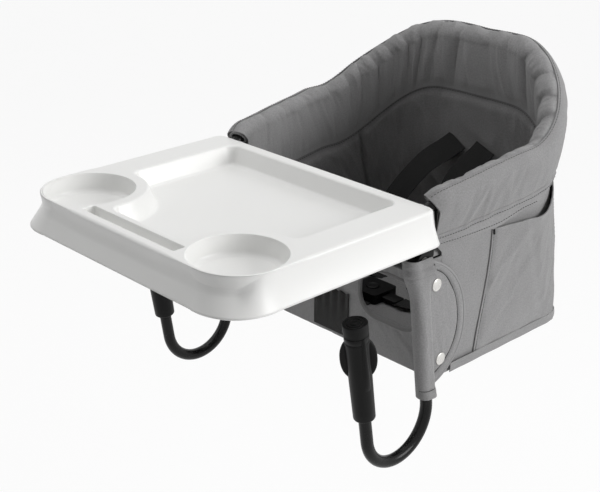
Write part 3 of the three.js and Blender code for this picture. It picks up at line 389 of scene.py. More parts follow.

# %% [markdown]
# The chair has a grey cloth outside, a lining of the same cloth made darker as painted shade for
# the bucket's dim inside, black cloth and webbing, and moulded or coated parts. All blacks stay a
# little above zero, as real ones do. Each line gives the darker and the lighter colour, the roughness, the
# size of the grain and the height of its relief.

# %% The chair's materials
LOOKS = (
    cloth_material("grey_cloth", (0.228, 0.225, 0.226), (0.362, 0.360, 0.363), 0.86, 0.15, 340.0, 0.00022),
    # The lining is the outer grey cloth made darker: painted shade for the inside of the bucket.
    cloth_material("grey_lining", (0.135, 0.133, 0.133), (0.235, 0.233, 0.234), 0.86, 0.08, 340.0, 0.00022),
    cloth_material("black_cloth", (0.010,) * 3, (0.022, 0.021, 0.020), 0.8, 0.15, 260.0, 0.0003),
    cloth_material("black_webbing", (0.003,) * 3, (0.0075,) * 3, 0.8, 0.05, 170.0, 0.0005),
    moulded_material("black_steel", (0.004,) * 3, (0.008,) * 3, 0.26, 1400.0, 0.00003,
                     Specular_IOR_Level=0.16, Coat_Weight=0.05, Coat_Roughness=0.12),
    moulded_material("bright_steel", (0.62, 0.61, 0.59), (0.74, 0.73, 0.70), 0.28, 1200.0, 0.00002,
                     metallic=1.0),
    moulded_material("black_plastic", (0.003,) * 3, (0.007,) * 3, 0.38, 900.0, 0.00006,
                     Specular_IOR_Level=0.14),
    moulded_material("black_rubber", (0.004,) * 3, (0.009,) * 3, 0.55, 700.0, 0.0001,
                     Specular_IOR_Level=0.14),
    moulded_material("thread", (0.020,) * 3, (0.045,) * 3, 0.8, 900.0, 0.0001, Specular_IOR_Level=0.2),
    moulded_material("white_plastic", (0.825, 0.825, 0.812), (0.835, 0.835, 0.822), 0.32, 1500.0, 0.000001,
                     scuffs=0.0, uneven=0.006, Specular_IOR_Level=0.5),
)
MATERIALS = {material.name.split(".")[0]: material for material in LOOKS}


print("materials:", len(MATERIALS))

# %% [markdown]
# Every piece gets its material and rides on its body, and the measured nodes that it stands for
# are hidden. Parts that hardly show are kept as the measured solids, and only get a material.

# %% Looks on pieces and on kept solids
def finish_piece(obj, body, finish, *nodes, look=None):
    obj.data.materials.append(MATERIALS[look or finish])
    if nodes:
        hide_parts(*nodes)
    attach(obj, body)
    return obj


CARRIED_OVER = {"seat_board": "black_plastic", "buckle_body": "black_plastic"}
for side, _ in SIDES:
    CARRIED_OVER |= {f"{node}_{side}": finish for node, finish in (
        ("hinge_bracket", "black_plastic"), ("hook_hub", "black_plastic"), ("hinge_washer", "black_plastic"),
        ("hinge_pin", "bright_steel"), ("arm_tube", "black_steel"), ("arm_cover", "black_rubber"),
        ("arm_end_cap", "black_plastic"))}
for node, finish in CARRIED_OVER.items():
    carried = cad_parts[node]
    carried.data.materials.clear()
    carried.data.materials.append(MATERIALS[finish])
print("solids kept as measured:", len(CARRIED_OVER))

# %% [markdown]
# ## The tray
# One thin white shell from a two-part mould: a main recess, a well for a cup in each front corner
# and a narrow slot for a spoon. It could be cut from a block with booleans, but their rims would
# be sharp. Here every hollow is an outline, and rings of points follow it down a rounded profile,
# so each rim and foot gets the soft radius that a mould needs. The flat parts are filled last.

# %% Tray outlines and profiles
TRAY_TOP, TRAY_HEM = 50.0, 6.0
TRAY_HALF, TRAY_BACK, TRAY_FRONT = 200.0, 60.0, -264.0
TRAY_CORNER, TRAY_HEM_CORNER, TRAY_BACK_CORNER = 60.0, 46.0, 14.0
TRAY_WALL, TRAY_FLARE = 3.0, 10.0
CUP_X, CUP_Y, CUP_RADIUS, CUP_ISLAND = 140.0, -204.0, 57.5, 73.0
RECESS_SIDE, RECESS_BACK, RECESS_FRONT = 154.0, 42.0, -225.0
RECESS_FLOOR, SLOT_FLOOR = 25.0, 38.0


def arc(centre, radius, start, end, steps):
    angles = np.radians(np.linspace(start, end, steps + 1))
    circle = np.stack([np.cos(angles), np.sin(angles)], 1)
    inward = -circle if end > start else circle
    return np.array(centre) + radius * circle, inward


def outline(arcs, spacing=7.0):
    """Arcs joined by straight edges, as points and the directions that lead inwards."""
    points, inward = [], []
    pieces_of = [arc(*a) for a in arcs]
    for (p, n), (q, _) in zip(pieces_of, pieces_of[1:] + pieces_of[:1]):
        points.append(p)
        inward.append(n)
        gap = np.linalg.norm(q[0] - p[-1])
        for k in range(1, int(gap / spacing)):
            share = k / int(gap / spacing)
            points.append((p[-1] * (1 - share) + q[0] * share)[None])
            inward.append(n[-1:])
    return np.concatenate(points), np.concatenate(inward)


def unit(vectors):
    length = np.linalg.norm(vectors, axis=-1, keepdims=True)
    return vectors / np.maximum(length, 1e-12)


def rounded_profile(corners, radii):
    """A bent line with its inner corners turned into arcs, each through six points."""
    corners = np.array(corners, float)
    line = [corners[0]]
    for i, radius in enumerate(radii, 1):
        a, b = unit(corners[i - 1] - corners[i]), unit(corners[i + 1] - corners[i])
        half = math.acos(float(np.clip(a.dot(b), -1, 1))) / 2
        centre = corners[i] + unit(a + b) * radius / math.sin(half)
        start = corners[i] + a * radius / math.tan(half) - centre
        end = corners[i] + b * radius / math.tan(half) - centre
        for share in np.linspace(0, 1, 6):
            line.append(centre + radius * unit(start * (1 - share) + end * share))
    return np.array(line + [corners[-1]])


print("tray:", 2 * TRAY_HALF, "x", TRAY_BACK - TRAY_FRONT, "mm")

# %% [markdown]
# The recess has to leave an island round each cup well, so its outline takes a soft turn before
# and after each of them. The tray is the same on both sides, so only the right half is given.

# %% The tray's hollows
def with_mirror(right):
    """The arcs of an outline's right half, then the same arcs on the left in reverse order."""
    return right + [((-x, y), radius, 180 - end, 180 - start, steps)
                    for (x, y), radius, start, end, steps in right[::-1]]


def recess_outline():
    """The recess goes round both cup wells, with a soft corner on each side of them."""
    fillet, back = 14.0, 16.0
    reach = CUP_ISLAND + fillet
    low = RECESS_FRONT + fillet
    sideways = math.sqrt(reach ** 2 - (low - CUP_Y) ** 2)
    lean = math.degrees(math.asin((CUP_Y - low) / reach))
    return outline(with_mirror([
        ((CUP_X - sideways, low), fillet, -90, lean, 8),
        ((CUP_X, CUP_Y), CUP_ISLAND, 180 + lean, 90, 26),
        ((RECESS_SIDE - fillet, CUP_Y + reach), fillet, -90, 0, 8),
        ((RECESS_SIDE - back, RECESS_BACK - back), back, 0, 90, 10),
    ]))


def slot_outline():
    x, front, back, corner = 87.0, -251.0, -234.0, 2.5
    return outline(with_mirror([((x - corner, front + corner), corner, -90, 0, 4),
                                ((x - corner, back - corner), corner, 0, 90, 4)]))


def well_outline(x):
    return outline([((x, CUP_Y), CUP_RADIUS, 0, 357, 119)])


def hollow(shape, floor, inwards, radii):
    """An outline, and the profile from the tray's top over a rounded lip to a rounded foot."""
    heights = (TRAY_TOP, TRAY_TOP, floor, floor)
    return shape, rounded_profile(list(zip(inwards, heights)), radii)


HOLLOWS = [
    hollow(recess_outline(), RECESS_FLOOR, (-3.2, 0, 8, 12.6), (3.2, 5.5)),
    hollow(well_outline(CUP_X), RECESS_FLOOR, (-0.9, 0, 3.5, 11), (0.9, 6.5)),
    hollow(well_outline(-CUP_X), RECESS_FLOOR, (-0.9, 0, 3.5, 11), (0.9, 6.5)),
    hollow(slot_outline(), SLOT_FLOOR, (-1.2, 0, 1.0, 2.3), (1.0, 0.6)),
]
print("hollows:", len(HOLLOWS), "outline points:", [len(shape[0]) for shape, _ in HOLLOWS])

# %% [markdown]
# The skirt flares out to its hem. On the front it first runs in a shallow scoop, and only then
# kicks out over a soft crease. The crease climbs to the rim round both front corners, as the
# photograph shows. At the back two notches leave room for the hoop's legs.

# %% Tray shell
def smooth(t):
    t = np.clip(t, 0, 1)
    return t * t * (3 - 2 * t)


def mix(a, b, t):
    return a + (b - a) * t


NOTCHES = (163.0, 193.0)
NOTCH_TOP = 44.0


def tray_rim():
    """The tray's outline. A notch needs a point on each side of its inner step, so they are added."""
    corner, back = TRAY_CORNER, TRAY_BACK_CORNER
    right = [((TRAY_HALF - corner, TRAY_FRONT + corner), corner, -90, 0, 30),
             ((TRAY_HALF - back, TRAY_BACK - back), back, 0, 90, 8)]
    points, inward = outline(with_mirror(right), 5.0)
    step = NOTCHES[0]
    for x in (step - 0.01, step + 0.01, -step + 0.01, -step - 0.01):
        on_back = np.abs(points[:, 1] - TRAY_BACK) < 1e-6
        beyond = points[:, 0] < x
        crossed = on_back[:-1] & on_back[1:] & (beyond[:-1] != beyond[1:])
        place = 1 + int(np.argmax(crossed))
        points = np.insert(points, place, (x, TRAY_BACK), 0)
        inward = np.insert(inward, place, (0, -1), 0)
    return points, inward


def tray_rings():
    """Rings from the flat top over the edge and down the skirt."""
    points, inward = tray_rim()
    x, y = np.abs(points[:, 0]), points[:, 1]
    near_cup = np.hypot(x - CUP_X, y - CUP_Y)
    edge = mix(1.0, 4.0, smooth((near_cup - TRAY_CORNER - 1) / 26))
    front = smooth((-y - 212) / 34)
    crease = 0.52 * front
    turned = np.clip(np.arctan2(x - CUP_X, CUP_Y - y) / (np.pi / 2), 0, 1)
    kick = 0.41 * (TRAY_CORNER - TRAY_HEM_CORNER) * np.sin(np.pi * turned) * (near_cup < TRAY_CORNER + 0.5)
    rings = [(-edge - 0.15, np.full(len(points), TRAY_TOP))]
    for angle in np.linspace(0, math.pi / 2, 6):
        rings.append((-edge * (1 - math.sin(angle)), TRAY_TOP - edge * (1 - math.cos(angle))))
    for t in np.linspace(0, 1, 19)[1:]:
        scoop = -0.14 * np.sin(np.pi * np.clip(t / np.maximum(crease, 0.05), 0, 1))
        lip = np.clip((t - crease) / (1 - crease), 0, 1) ** 0.85
        creased = np.where(t < crease, scoop, lip)
        out = (TRAY_FLARE + kick) * mix(t ** 1.5, creased, front)
        rings.append((out, mix(TRAY_TOP - edge, TRAY_HEM, t)))
    notched = (y > TRAY_BACK - 1e-3) & (x > NOTCHES[0]) & (x < NOTCHES[1])
    return [np.column_stack([points - inward * out[:, None], np.where(notched, np.maximum(z, NOTCH_TOP), z)])
            for out, z in rings]


print("rings of the skirt:", len(tray_rings()))

# %% [markdown]
# The flat top lies between the rim and four hollows. It is filled with triangles between the
# rings that are there already, so no edge moves and the rounded lips stay even.

# %% Tray mesh
def inside(point, ring):
    x, y = point
    a, b = ring, np.roll(ring, -1, 0)
    crosses = (a[:, 1] > y) != (b[:, 1] > y)
    rise = np.where(crosses, b[:, 1] - a[:, 1], 1)
    meets = a[:, 0] + (y - a[:, 1]) / rise * (b[:, 0] - a[:, 0])
    return bool(np.count_nonzero(crosses & (x < meets)) % 2)


def fill_flat(build, loops):
    """Triangles between a ring and the holes in it, all at one height."""
    rings = [np.array([v.co[:2] for v in row]) for row in loops]
    corners = [v for row in loops for v in row]
    edges, start = [], 0
    for ring in rings:
        edges += [(start + i, start + (i + 1) % len(ring)) for i in range(len(ring))]
        start += len(ring)
    flat = [Vector(point) for ring in rings for point in ring]
    places, _, triangles, sources, _, _ = geometry.delaunay_2d_cdt(flat, edges, [], 0, 1e-6, True)
    for triangle in triangles:
        middle = np.mean([places[i] for i in triangle], axis=0)
        if inside(middle, rings[0]) and not any(inside(middle, ring) for ring in rings[1:]):
            build.faces.new([corners[sources[i][0]] for i in triangle])


def tray_mesh():
    build = bmesh.new()

    def add_rings(rings):
        rows = [[build.verts.new(p) for p in ring] for ring in rings]
        for a, b in zip(rows, rows[1:]):
            for j in range(len(a)):
                k = (j + 1) % len(a)
                build.faces.new((a[j], a[k], b[k], b[j]))
        return rows

    outside = add_rings(tray_rings())
    top_loops = [outside[0]]
    for (points, inward), profile in HOLLOWS:
        rows = add_rings([np.column_stack([points + inward * away, np.full(len(points), z)])
                          for away, z in profile])
        top_loops.append(rows[0])
        fill_flat(build, [rows[-1]])
    fill_flat(build, top_loops)
    bmesh.ops.remove_doubles(build, verts=build.verts, dist=0.001)
    bmesh.ops.recalc_face_normals(build, faces=build.faces)
    highest = [f for f in build.faces if f.calc_center_median().z > TRAY_TOP - 0.01]
    if sum(f.normal.z * f.calc_area() for f in highest) < 0:
        bmesh.ops.reverse_faces(build, faces=build.faces)
    bmesh.ops.scale(build, vec=(TO_METRES,) * 3, verts=build.verts)
    mesh = bpy.data.meshes.new("tray_shell")
    build.to_mesh(mesh)
    build.free()
    mesh.polygons.foreach_set("use_smooth", [True] * len(mesh.polygons))
    return mesh


print("flat parts to fill:", len(HOLLOWS) + 1)

# %% [markdown]
# The mould gives an even wall, so the shell gets it from a solidify. Normals weighted by the size
# of each face keep the large flat parts flat right up to their rounded edges.

# %% Tray wall
def applied(obj):
    """The object with its modifiers turned into plain mesh."""
    result = bpy.data.meshes.new_from_object(obj.evaluated_get(bpy.context.evaluated_depsgraph_get()))
    obj.modifiers.clear()
    obj.data = result
    return obj


tray = link(bpy.data.objects.new("tray_shell", tray_mesh()))
wall = tray.modifiers.new("wall", "SOLIDIFY")
wall.thickness = TRAY_WALL * TO_METRES
wall.offset = -1
even = tray.modifiers.new("even_shading", "WEIGHTED_NORMAL")
even.mode = "FACE_AREA"
even.weight = 100
applied(tray)
tray.data.polygons.foreach_set("use_smooth", [True] * len(tray.data.polygons))
finish_piece(tray, "tray", "white_plastic", "tray")
print("tray faces:", len(tray.data.polygons))

# %% [markdown]
# Under the tray, four ribs sit over the arms' rubber covers. They stand across the shell's hollow
# edge, so each is a thin plate with a rounded notch as wide as the cover.

# %% Tray saddles
ARM_X = 174.0
SADDLE_ROWS = (-105.0, -12.0)
SADDLE_THICKNESS, SADDLE_CHAMFER = 3.0, 0.35


def loft(rings):
    """A closed body through rings of equal length, with a flat cap at each end."""
    rings = np.asarray(rings, float)
    count, size = rings.shape[:2]
    caps = [tuple(range(size))[::-1], tuple(range((count - 1) * size, count * size))]
    return rings.reshape(-1, 3), net_faces(count, size, wrap=True) + caps


def saddle(sign, y):
    """A plate across the arm, with a notch that is round at its upper corners."""
    half, cover, inner, outer, top, foot = 14.3, 24.3, -16.6, 24.0, 47.4, 24.6
    notch = [(-half + 3 - 3 * math.cos(angle), cover + 0.2 + 3 * math.sin(angle))
             for angle in np.linspace(0, math.pi / 2, 5)]
    edge = [(inner, foot + 2), (-half, foot), *notch, *[(-x, z) for x, z in notch[::-1]], (half, foot)]
    edge += [(outer - 3, foot), (outer, foot + 6), (outer, top), (inner, top)]
    ring = np.array([(sign * (ARM_X + x), 0, z) for x, z in edge])
    middle = ring.mean(0)
    face, side = SADDLE_THICKNESS / 2, SADDLE_THICKNESS / 2 - SADDLE_CHAMFER
    rings = []
    for inset, offset in ((SADDLE_CHAMFER, -face), (0, -side), (0, side), (SADDLE_CHAMFER, face)):
        rings.append(middle + (ring - middle) * (1 - inset / outer) + (0, y + offset, 0))
    return loft(rings)


for side, sign in SIDES:
    for row, y in zip(("front", "back"), SADDLE_ROWS):
        rib = joined(f"tray_saddle_{row}_{side}", [saddle(sign, y)], smooth=False)
        finish_piece(rib, "tray", "white_plastic")
print("saddles:", 2 * len(SADDLE_ROWS))

# %% [markdown]
# ## The steel
# The hoop and both hooks are black tube, bent with even radii. Each is one round section swept
# along its true centre line, with rings close enough that no bend shows a corner.

# %% Lines of the hoop and the bucket's base
TUBE = 8.0
RIM_SIDE = 0.154
RIM_START_Y, RIM_CORNER_Y, RIM_BACK_Y = 92.0, 225.0, 388.0
RIM_START_X, RIM_CORNER_X = 184.0, 194.0
RIM_START_Z, RIM_CORNER_Z, RIM_BACK_Z = 52.0, 70.0, 164.0
LEG_X, FRONT_BEND = 175.0, 28.0
SEAT_BOTTOM, SEAT_FRONT_Y, BOTTOM_HALF = -198.0, 93.0, 180.0
BOTTOM_CORNER_Y, BOTTOM_BACK_Y = 308.0, 380.0
WALL_DROP = 13.6


def along_rim(u):
    """The side's sign, the share of the straight side, and the share of the turn round the back."""
    u = np.asarray(u, float)
    half = np.minimum(u, 1 - u)
    turn = np.maximum(half - RIM_SIDE, 0) / (0.5 - RIM_SIDE)
    return np.where(u > 0.5, -1.0, 1.0), np.minimum(half / RIM_SIDE, 1), turn


def half_ellipse(width, depth, squareness, turn):
    angle = np.minimum(turn, 1) * math.pi / 2
    power = 2 / squareness
    return width / 2 * np.maximum(np.cos(angle), 0) ** power, depth * np.maximum(np.sin(angle), 0) ** power


def rim_at(u):
    """The hoop's centre line, from 0 at the right front round the back to 1 at the left front."""
    sign, side, turn = along_rim(u)
    back_x, back_y = half_ellipse(2 * RIM_CORNER_X, RIM_BACK_Y - RIM_CORNER_Y, 2.4, turn)
    x = np.where(turn > 0, back_x, mix(RIM_START_X, RIM_CORNER_X, side))
    y = mix(RIM_START_Y, RIM_CORNER_Y, side) + back_y
    z = mix(mix(RIM_START_Z, RIM_CORNER_Z, side), RIM_BACK_Z, smooth((turn - 0.05) / 0.8))
    return np.stack([sign * x, y, z], -1)


def bottom_at(u):
    """The lower edge of the bucket's wall."""
    sign, side, turn = along_rim(u)
    back_x, back_y = half_ellipse(2 * BOTTOM_HALF, BOTTOM_BACK_Y - BOTTOM_CORNER_Y, 5, turn)
    y = mix(SEAT_FRONT_Y, BOTTOM_CORNER_Y, side) + back_y
    return np.stack([sign * back_x, y, np.full_like(y, SEAT_BOTTOM)], -1)


print("hoop at the back:", round(float(rim_at(0.5)[2]), 1), "mm up")

# %% [markdown]
# The cloth bucket hangs between two lines: one just below the hoop and one round its base. Any
# point of the wall is a mix of the two, set off square to it. All layers of cloth use this.

# %% The bucket's wall
def outward_at(u, curve):
    along = curve(np.minimum(1, u + 0.004)) - curve(np.maximum(0, u - 0.004))
    return unit(np.stack([along[..., 1], -along[..., 0], 0 * along[..., 0]], -1))


def wall_top(u):
    """The wall's upper edge. It keeps its distance below the hoop, square to the rim's slope."""
    along = unit(rim_at(np.minimum(1, u + 0.004)) - rim_at(np.maximum(0, u - 0.004)))
    return rim_at(u)[..., 2] - WALL_DROP / np.hypot(along[..., 0], along[..., 1])


def wall_at(u, height, offset=0.0):
    """The bucket's wall at u along the rim and at a height, set off outwards."""
    u = np.asarray(u, float)
    top = rim_at(u)
    top[..., 2] = wall_top(u)
    v = ((top[..., 2] - height) / (top[..., 2] - SEAT_BOTTOM))[..., None]
    out = unit(mix(outward_at(u, rim_at), outward_at(u, bottom_at), v))
    return mix(top, bottom_at(u), v) + out * np.asarray(offset)[..., None]


def front_bend(t):
    """The hoop's down-turned end, from the leg at 0 to the rim's start at 1."""
    t = np.asarray(t, float)
    x = mix(LEG_X, RIM_START_X, smooth(t))
    y = RIM_START_Y - FRONT_BEND * np.cos(math.pi / 2 * t)
    z = RIM_START_Z - FRONT_BEND * (1 - np.sin(math.pi / 2 * t))
    return np.stack([x, y, z], -1)


def mirrored_x(points):
    return points * (-1, 1, 1)


print("wall height at the front:", round(float(wall_top(np.array(0.0)) - SEAT_BOTTOM), 1), "mm")

# %% Hoop and hooks
HOOK_X = 196.0
BEND_CENTRE, BEND_RADIUS = np.array((7.0, -221.0)), 55.0
LEG_LEAN, NECK_LEAN = math.radians(8), math.radians(9)
PIVOT = np.array((32.93, -10.34))
SOCKET_DEPTH, NECK_LENGTH = 9.0, 100.0


def sweep(path, radius, sides=24, capped=True):
    """A round bar along a smooth path. Its rings turn with the path and never twist."""
    path = np.asarray(path, float)
    along = unit(np.gradient(path, axis=0))
    side = unit(np.cross(along[0], (0, 0, 1) if abs(along[0][2]) < 0.9 else (1, 0, 0)))
    radii = np.broadcast_to(radius, (len(path),))
    angles = 2 * np.pi * np.arange(sides) / sides
    points = []
    for place, direction, size in zip(path, along, radii):
        side = unit(side - direction * side.dot(direction))
        other = np.cross(direction, side)
        points.append(place + size * (np.cos(angles)[:, None] * side + np.sin(angles)[:, None] * other))
    points = np.concatenate(points)
    faces = net_faces(len(path), sides, wrap=True)
    if capped:
        last = (len(path) - 1) * sides
        faces += [tuple(range(sides))[::-1], tuple(range(last, last + sides))]
    return points, faces


def hoop_path():
    leg = [(LEG_X, RIM_START_Y - FRONT_BEND, z) for z in (-8.0, 4.0, 14.0)]
    front = front_bend(np.linspace(0, 1, 14)[:-1])
    end = np.concatenate([leg, front])
    rim = rim_at(np.linspace(0, 1, 241))
    return np.concatenate([end, rim, mirrored_x(end)[::-1]])


def hook_path(sign):
    leg_up = np.array((-math.sin(LEG_LEAN), math.cos(LEG_LEAN)))
    neck_up = np.array((-math.sin(NECK_LEAN), math.cos(NECK_LEAN)))
    top = PIVOT - SOCKET_DEPTH * leg_up
    angles = np.linspace(LEG_LEAN, NECK_LEAN - math.pi, 49)
    bend = BEND_CENTRE + BEND_RADIUS * np.stack([np.cos(angles), np.sin(angles)], 1)
    leg = [top * (1 - t) + bend[0] * t for t in np.linspace(0, 1, 14)[:-1]]
    neck = [bend[-1] + neck_up * d for d in np.linspace(0, NECK_LENGTH, 9)[1:]]
    yz = np.array([*leg, *bend, *neck])
    return np.column_stack([np.full(len(yz), sign * HOOK_X), yz])


finish_piece(joined("hoop", [sweep(hoop_path(), TUBE)]), "frame", "black_steel", "hoop_tube")
for side, sign in SIDES:
    hook = joined(f"hook_{side}", [sweep(hook_path(sign), TUBE)])
    finish_piece(hook, f"hook_{side}", "black_steel", f"hook_tube_{side}")
print("tubes:", 3)

# %% [markdown]
# ## The screw clamps
# A hand grip turns on a stud in each hook's neck and pushes a round rubber pad against the table.
# The grip's body, its oval wing and its two tapered ribs are one moulding, so they are separate
# closed bodies in one mesh, each with soft edges, set deep into one another. The pad is turned,
# with two ring grooves in its face, a rolled edge and a skirt over the grip's collar.

# %% Grips
NECK_FOOT = (-47.32, -229.60)
GRIP_BOTTOM, GRIP_TOP, GRIP_COLLAR = 38.0, 165.0, 158.7
GRIP_LOW, GRIP_HIGH, COLLAR = 13.9, 15.3, 13.0
RIB_FOOT, RIB_TURN = 84.7, math.radians(-12)
WING_CENTRE, WING_HALF, WING_TURN = 125.5, (22.5, 31.0), math.radians(46)
PAD_RADIUS, PAD_TOP = 15.5, GRIP_TOP + 10
STUD_FOOT, STUD_TOP = 88.3, 152.0


def round_edge(radius, height, size, rising, steps=5):
    """Points of a turned edge. It starts on the face and ends on the side."""
    angles = np.linspace(0, math.pi / 2, steps)
    return [(radius - size * (1 - math.sin(a)), height + rising * size * (1 - math.cos(a))) for a in angles]


def grip_radius(z):
    return mix(GRIP_LOW, GRIP_HIGH, (z - GRIP_BOTTOM) / (GRIP_COLLAR - GRIP_BOTTOM))


def grip_profile():
    """The grip's body: a hollowed foot, a slight taper, a groove and a collar."""
    line = [(0, GRIP_BOTTOM + 1.6), (8.6, GRIP_BOTTOM + 1.6), (8.8, GRIP_BOTTOM + 0.4)]
    line += round_edge(GRIP_LOW, GRIP_BOTTOM, 2.5, 1)
    line += [(grip_radius(z), z) for z in (52, *range(60, 150, 10), 148)]
    line += [(grip_radius(z) - sunk, z) for z, sunk in ((150.0, 0), (150.5, 0.5), (151.3, 0.5), (151.8, 0))]
    line += round_edge(GRIP_HIGH, GRIP_COLLAR, 1.4, -1)[::-1]
    return line + [(COLLAR, GRIP_COLLAR), (COLLAR, GRIP_TOP - 0.6), (COLLAR - 0.6, GRIP_TOP), (0, GRIP_TOP)]


def plate(half_x, half_z, thickness, edge):
    """An oval plate that stands on the XZ plane, with rounded edges and slightly dished faces."""
    angles = 2 * np.pi * np.arange(56) / 56
    circle = np.stack([np.cos(angles), np.sin(angles)], 1)
    oval = np.sign(circle) * np.abs(circle) ** (2 / 2.25)
    half = thickness / 2
    levels = [(14.0, half - 0.5), (8.0, half - 0.5), (5.0, half - 0.35), (3.4, half)]
    levels += [(edge * (1 - math.sin(angle)), half - edge * (1 - math.cos(angle)))
               for angle in np.linspace(0.1, math.pi / 2, 5)]
    levels += [(inset, -y) for inset, y in levels[::-1]]
    rings = []
    for inset, y in levels:
        across, up = (oval * (half_x - inset, half_z - inset)).T
        rings.append(np.column_stack([across, np.full(56, -y), up]))
    return loft(rings)


def rib():
    """A tapered ridge up the grip, wide at its foot, with a rounded back."""
    rings = []
    for z in np.linspace(RIB_FOOT, GRIP_COLLAR - 0.5, 22):
        share = (z - RIB_FOOT) / 74
        proud = 2.2 * math.sqrt(max(0.0, min(1, share / 0.28, (1 - share) / 0.08)) + 1e-4)
        half = mix(5.5, 2.5, share)
        radius = grip_radius(z)
        angles = np.linspace(-math.pi / 2, math.pi / 2, 13)
        bow = np.abs(np.cos(angles)) ** 0.7
        y = half * np.sin(angles)
        x = np.sqrt(np.maximum(radius ** 2 - y ** 2, 0)) - 0.8 + (proud + 0.8) * bow
        back = [(radius - 5, half * 0.8, z), (radius - 5, -half * 0.8, z)]
        rings.append([*zip(x, y, np.full(len(x), z)), *back])
    return loft(rings)


print("grip:", GRIP_TOP - GRIP_BOTTOM, "mm long")

# %% [markdown]
# Pad and stud are turned bodies. The pad's face has two ring grooves that grip the table, and
# rings on the stud stand for its thread, which hardly shows between grip and neck.

# %% Pads and studs
def pad_profile():
    """A skirt over the grip's collar, a rolled edge, and two ring grooves in the face."""
    skirt = [(0, 0.3), (13.3, 0.3), (13.3, -6), (14.6, -6), (15.2, -5.6), (15.2, -2), (PAD_RADIUS, -1)]
    line = [(radius, GRIP_TOP + up) for radius, up in skirt] + [(PAD_RADIUS, PAD_TOP - 2.6)]
    line += round_edge(PAD_RADIUS, PAD_TOP, 1.4, -1, 6)[::-1]
    groove = [(0.9, 0), (0.5, 0.25), (0.35, 0.8), (-0.35, 0.8), (-0.5, 0.25), (-0.9, 0)]
    for middle in (11.5, 7.0):
        line += [(middle + away, PAD_TOP - deep) for away, deep in groove]
    return line + [(2.0, PAD_TOP), (1.4, PAD_TOP - 0.4), (0, PAD_TOP - 0.4)]


def stud_profile():
    """Rings that stand for the thread."""
    line = [(0, STUD_FOOT), (4.2, STUD_FOOT)]
    z = STUD_FOOT + 0.8
    while z < STUD_TOP - 1.6:
        line += [(4.25, z), (4.95, z + 0.55), (4.95, z + 0.8), (4.25, z + 1.35)]
        z += 1.75
    return line + [(4.2, STUD_TOP), (0, STUD_TOP)]


print("profile points:", len(pad_profile()), len(stud_profile()))

# %% [markdown]
# Grip, pad and stud share the neck's own axis, which leans. So they are built upright round Z,
# then tilted and put on the neck's foot. The two grips are turned to mirror each other.

# %% Clamps in place
def lathe(profile, sides=48):
    """A body turned about Z from [radius, height] pairs that start and end on the axis."""
    angles = 2 * math.pi * np.arange(sides) / sides
    circle = np.column_stack([np.cos(angles), np.sin(angles), np.zeros(sides)])
    turned = [circle * radius + (0, 0, height) for radius, height in profile[1:-1]]
    faces = net_faces(len(turned), sides, wrap=True)
    last = (len(turned) - 1) * sides
    foot = len(turned) * sides
    faces += [((i + 1) % sides, i, foot) for i in range(sides)]
    faces += [(last + i, last + (i + 1) % sides, foot + 1) for i in range(sides)]
    ends = [(0, 0, profile[0][1]), (0, 0, profile[-1][1])]
    return np.concatenate([*turned, ends]), faces


def moved(part, place=(0, 0, 0), turn=None):
    points, faces = part
    if turn is not None:
        points = points @ np.array(turn.to_3x3()).T
    return points + np.asarray(place, float), faces


for side, sign in SIDES:
    lean = Matrix.Rotation(NECK_LEAN, 4, "X")
    foot = (sign * HOOK_X, *NECK_FOOT)
    ribs = [moved(rib(), turn=Matrix.Rotation(sign * RIB_TURN + half, 4, "Z")) for half in (0, math.pi)]
    wing = moved(plate(*WING_HALF, 5.0, 2.2), (0, 0, WING_CENTRE))
    wing = moved(wing, turn=Matrix.Rotation(sign * WING_TURN, 4, "Z"))
    bodies = [moved(part, foot, lean) for part in [lathe(grip_profile(), 64), wing, *ribs]]
    finish_piece(joined(f"grip_{side}", bodies), f"clamp_screw_{side}", "black_plastic", f"clamp_grip_{side}")
    pad = joined(f"pad_{side}", [moved(lathe(pad_profile(), 64), foot, lean)])
    finish_piece(pad, f"clamp_foot_{side}", "black_rubber", f"clamp_pad_{side}")
    stud = joined(f"stud_{side}", [moved(lathe(stud_profile(), 32), foot, lean)])
    finish_piece(stud, f"hook_{side}", "bright_steel", f"clamp_stud_{side}")
print("clamp pieces:", 6)

# %% [markdown]
# ## The cloth
# Every piece of cloth starts as a net of points on its middle surface, so folds, puffs and
# puckers are sums of a few plain shapes on that net. A solidify then gives it its thickness and
# closed edges. The nets follow the same rim and wall lines as the frame, so each piece lies in
# its own layer and never cuts the next one.

# %% Cloth helpers
CLOTH = 1.6


def normals_of(grid):
    return unit(np.cross(np.gradient(grid, axis=0), np.gradient(grid, axis=1)))


def cloth_uv(grid):
    """Distances along the net in both directions, and the net's longest row and column."""
    along = np.linalg.norm(np.diff(grid, axis=0), axis=2)
    across = np.linalg.norm(np.diff(grid, axis=1), axis=2)
    u = np.concatenate([[0], np.cumsum(along.mean(1))])
    v = np.concatenate([[0], np.cumsum(across.mean(0))])
    return flat_net(u, v), (along.sum(0).max(), across.sum(1).max())


def flat_net(u, v):
    return np.stack(np.meshgrid(u, v, indexing="ij"), -1).reshape(-1, 2)


def net_area(points, faces):
    corners = points[np.array(faces)]
    to_second, to_third, to_fourth = (corners[:, k] - corners[:, 0] for k in (1, 2, 3))
    twice = np.linalg.norm(np.cross(to_second, to_third), axis=1).sum()
    twice += np.linalg.norm(np.cross(to_third, to_fourth), axis=1).sum()
    return float(twice) / 2


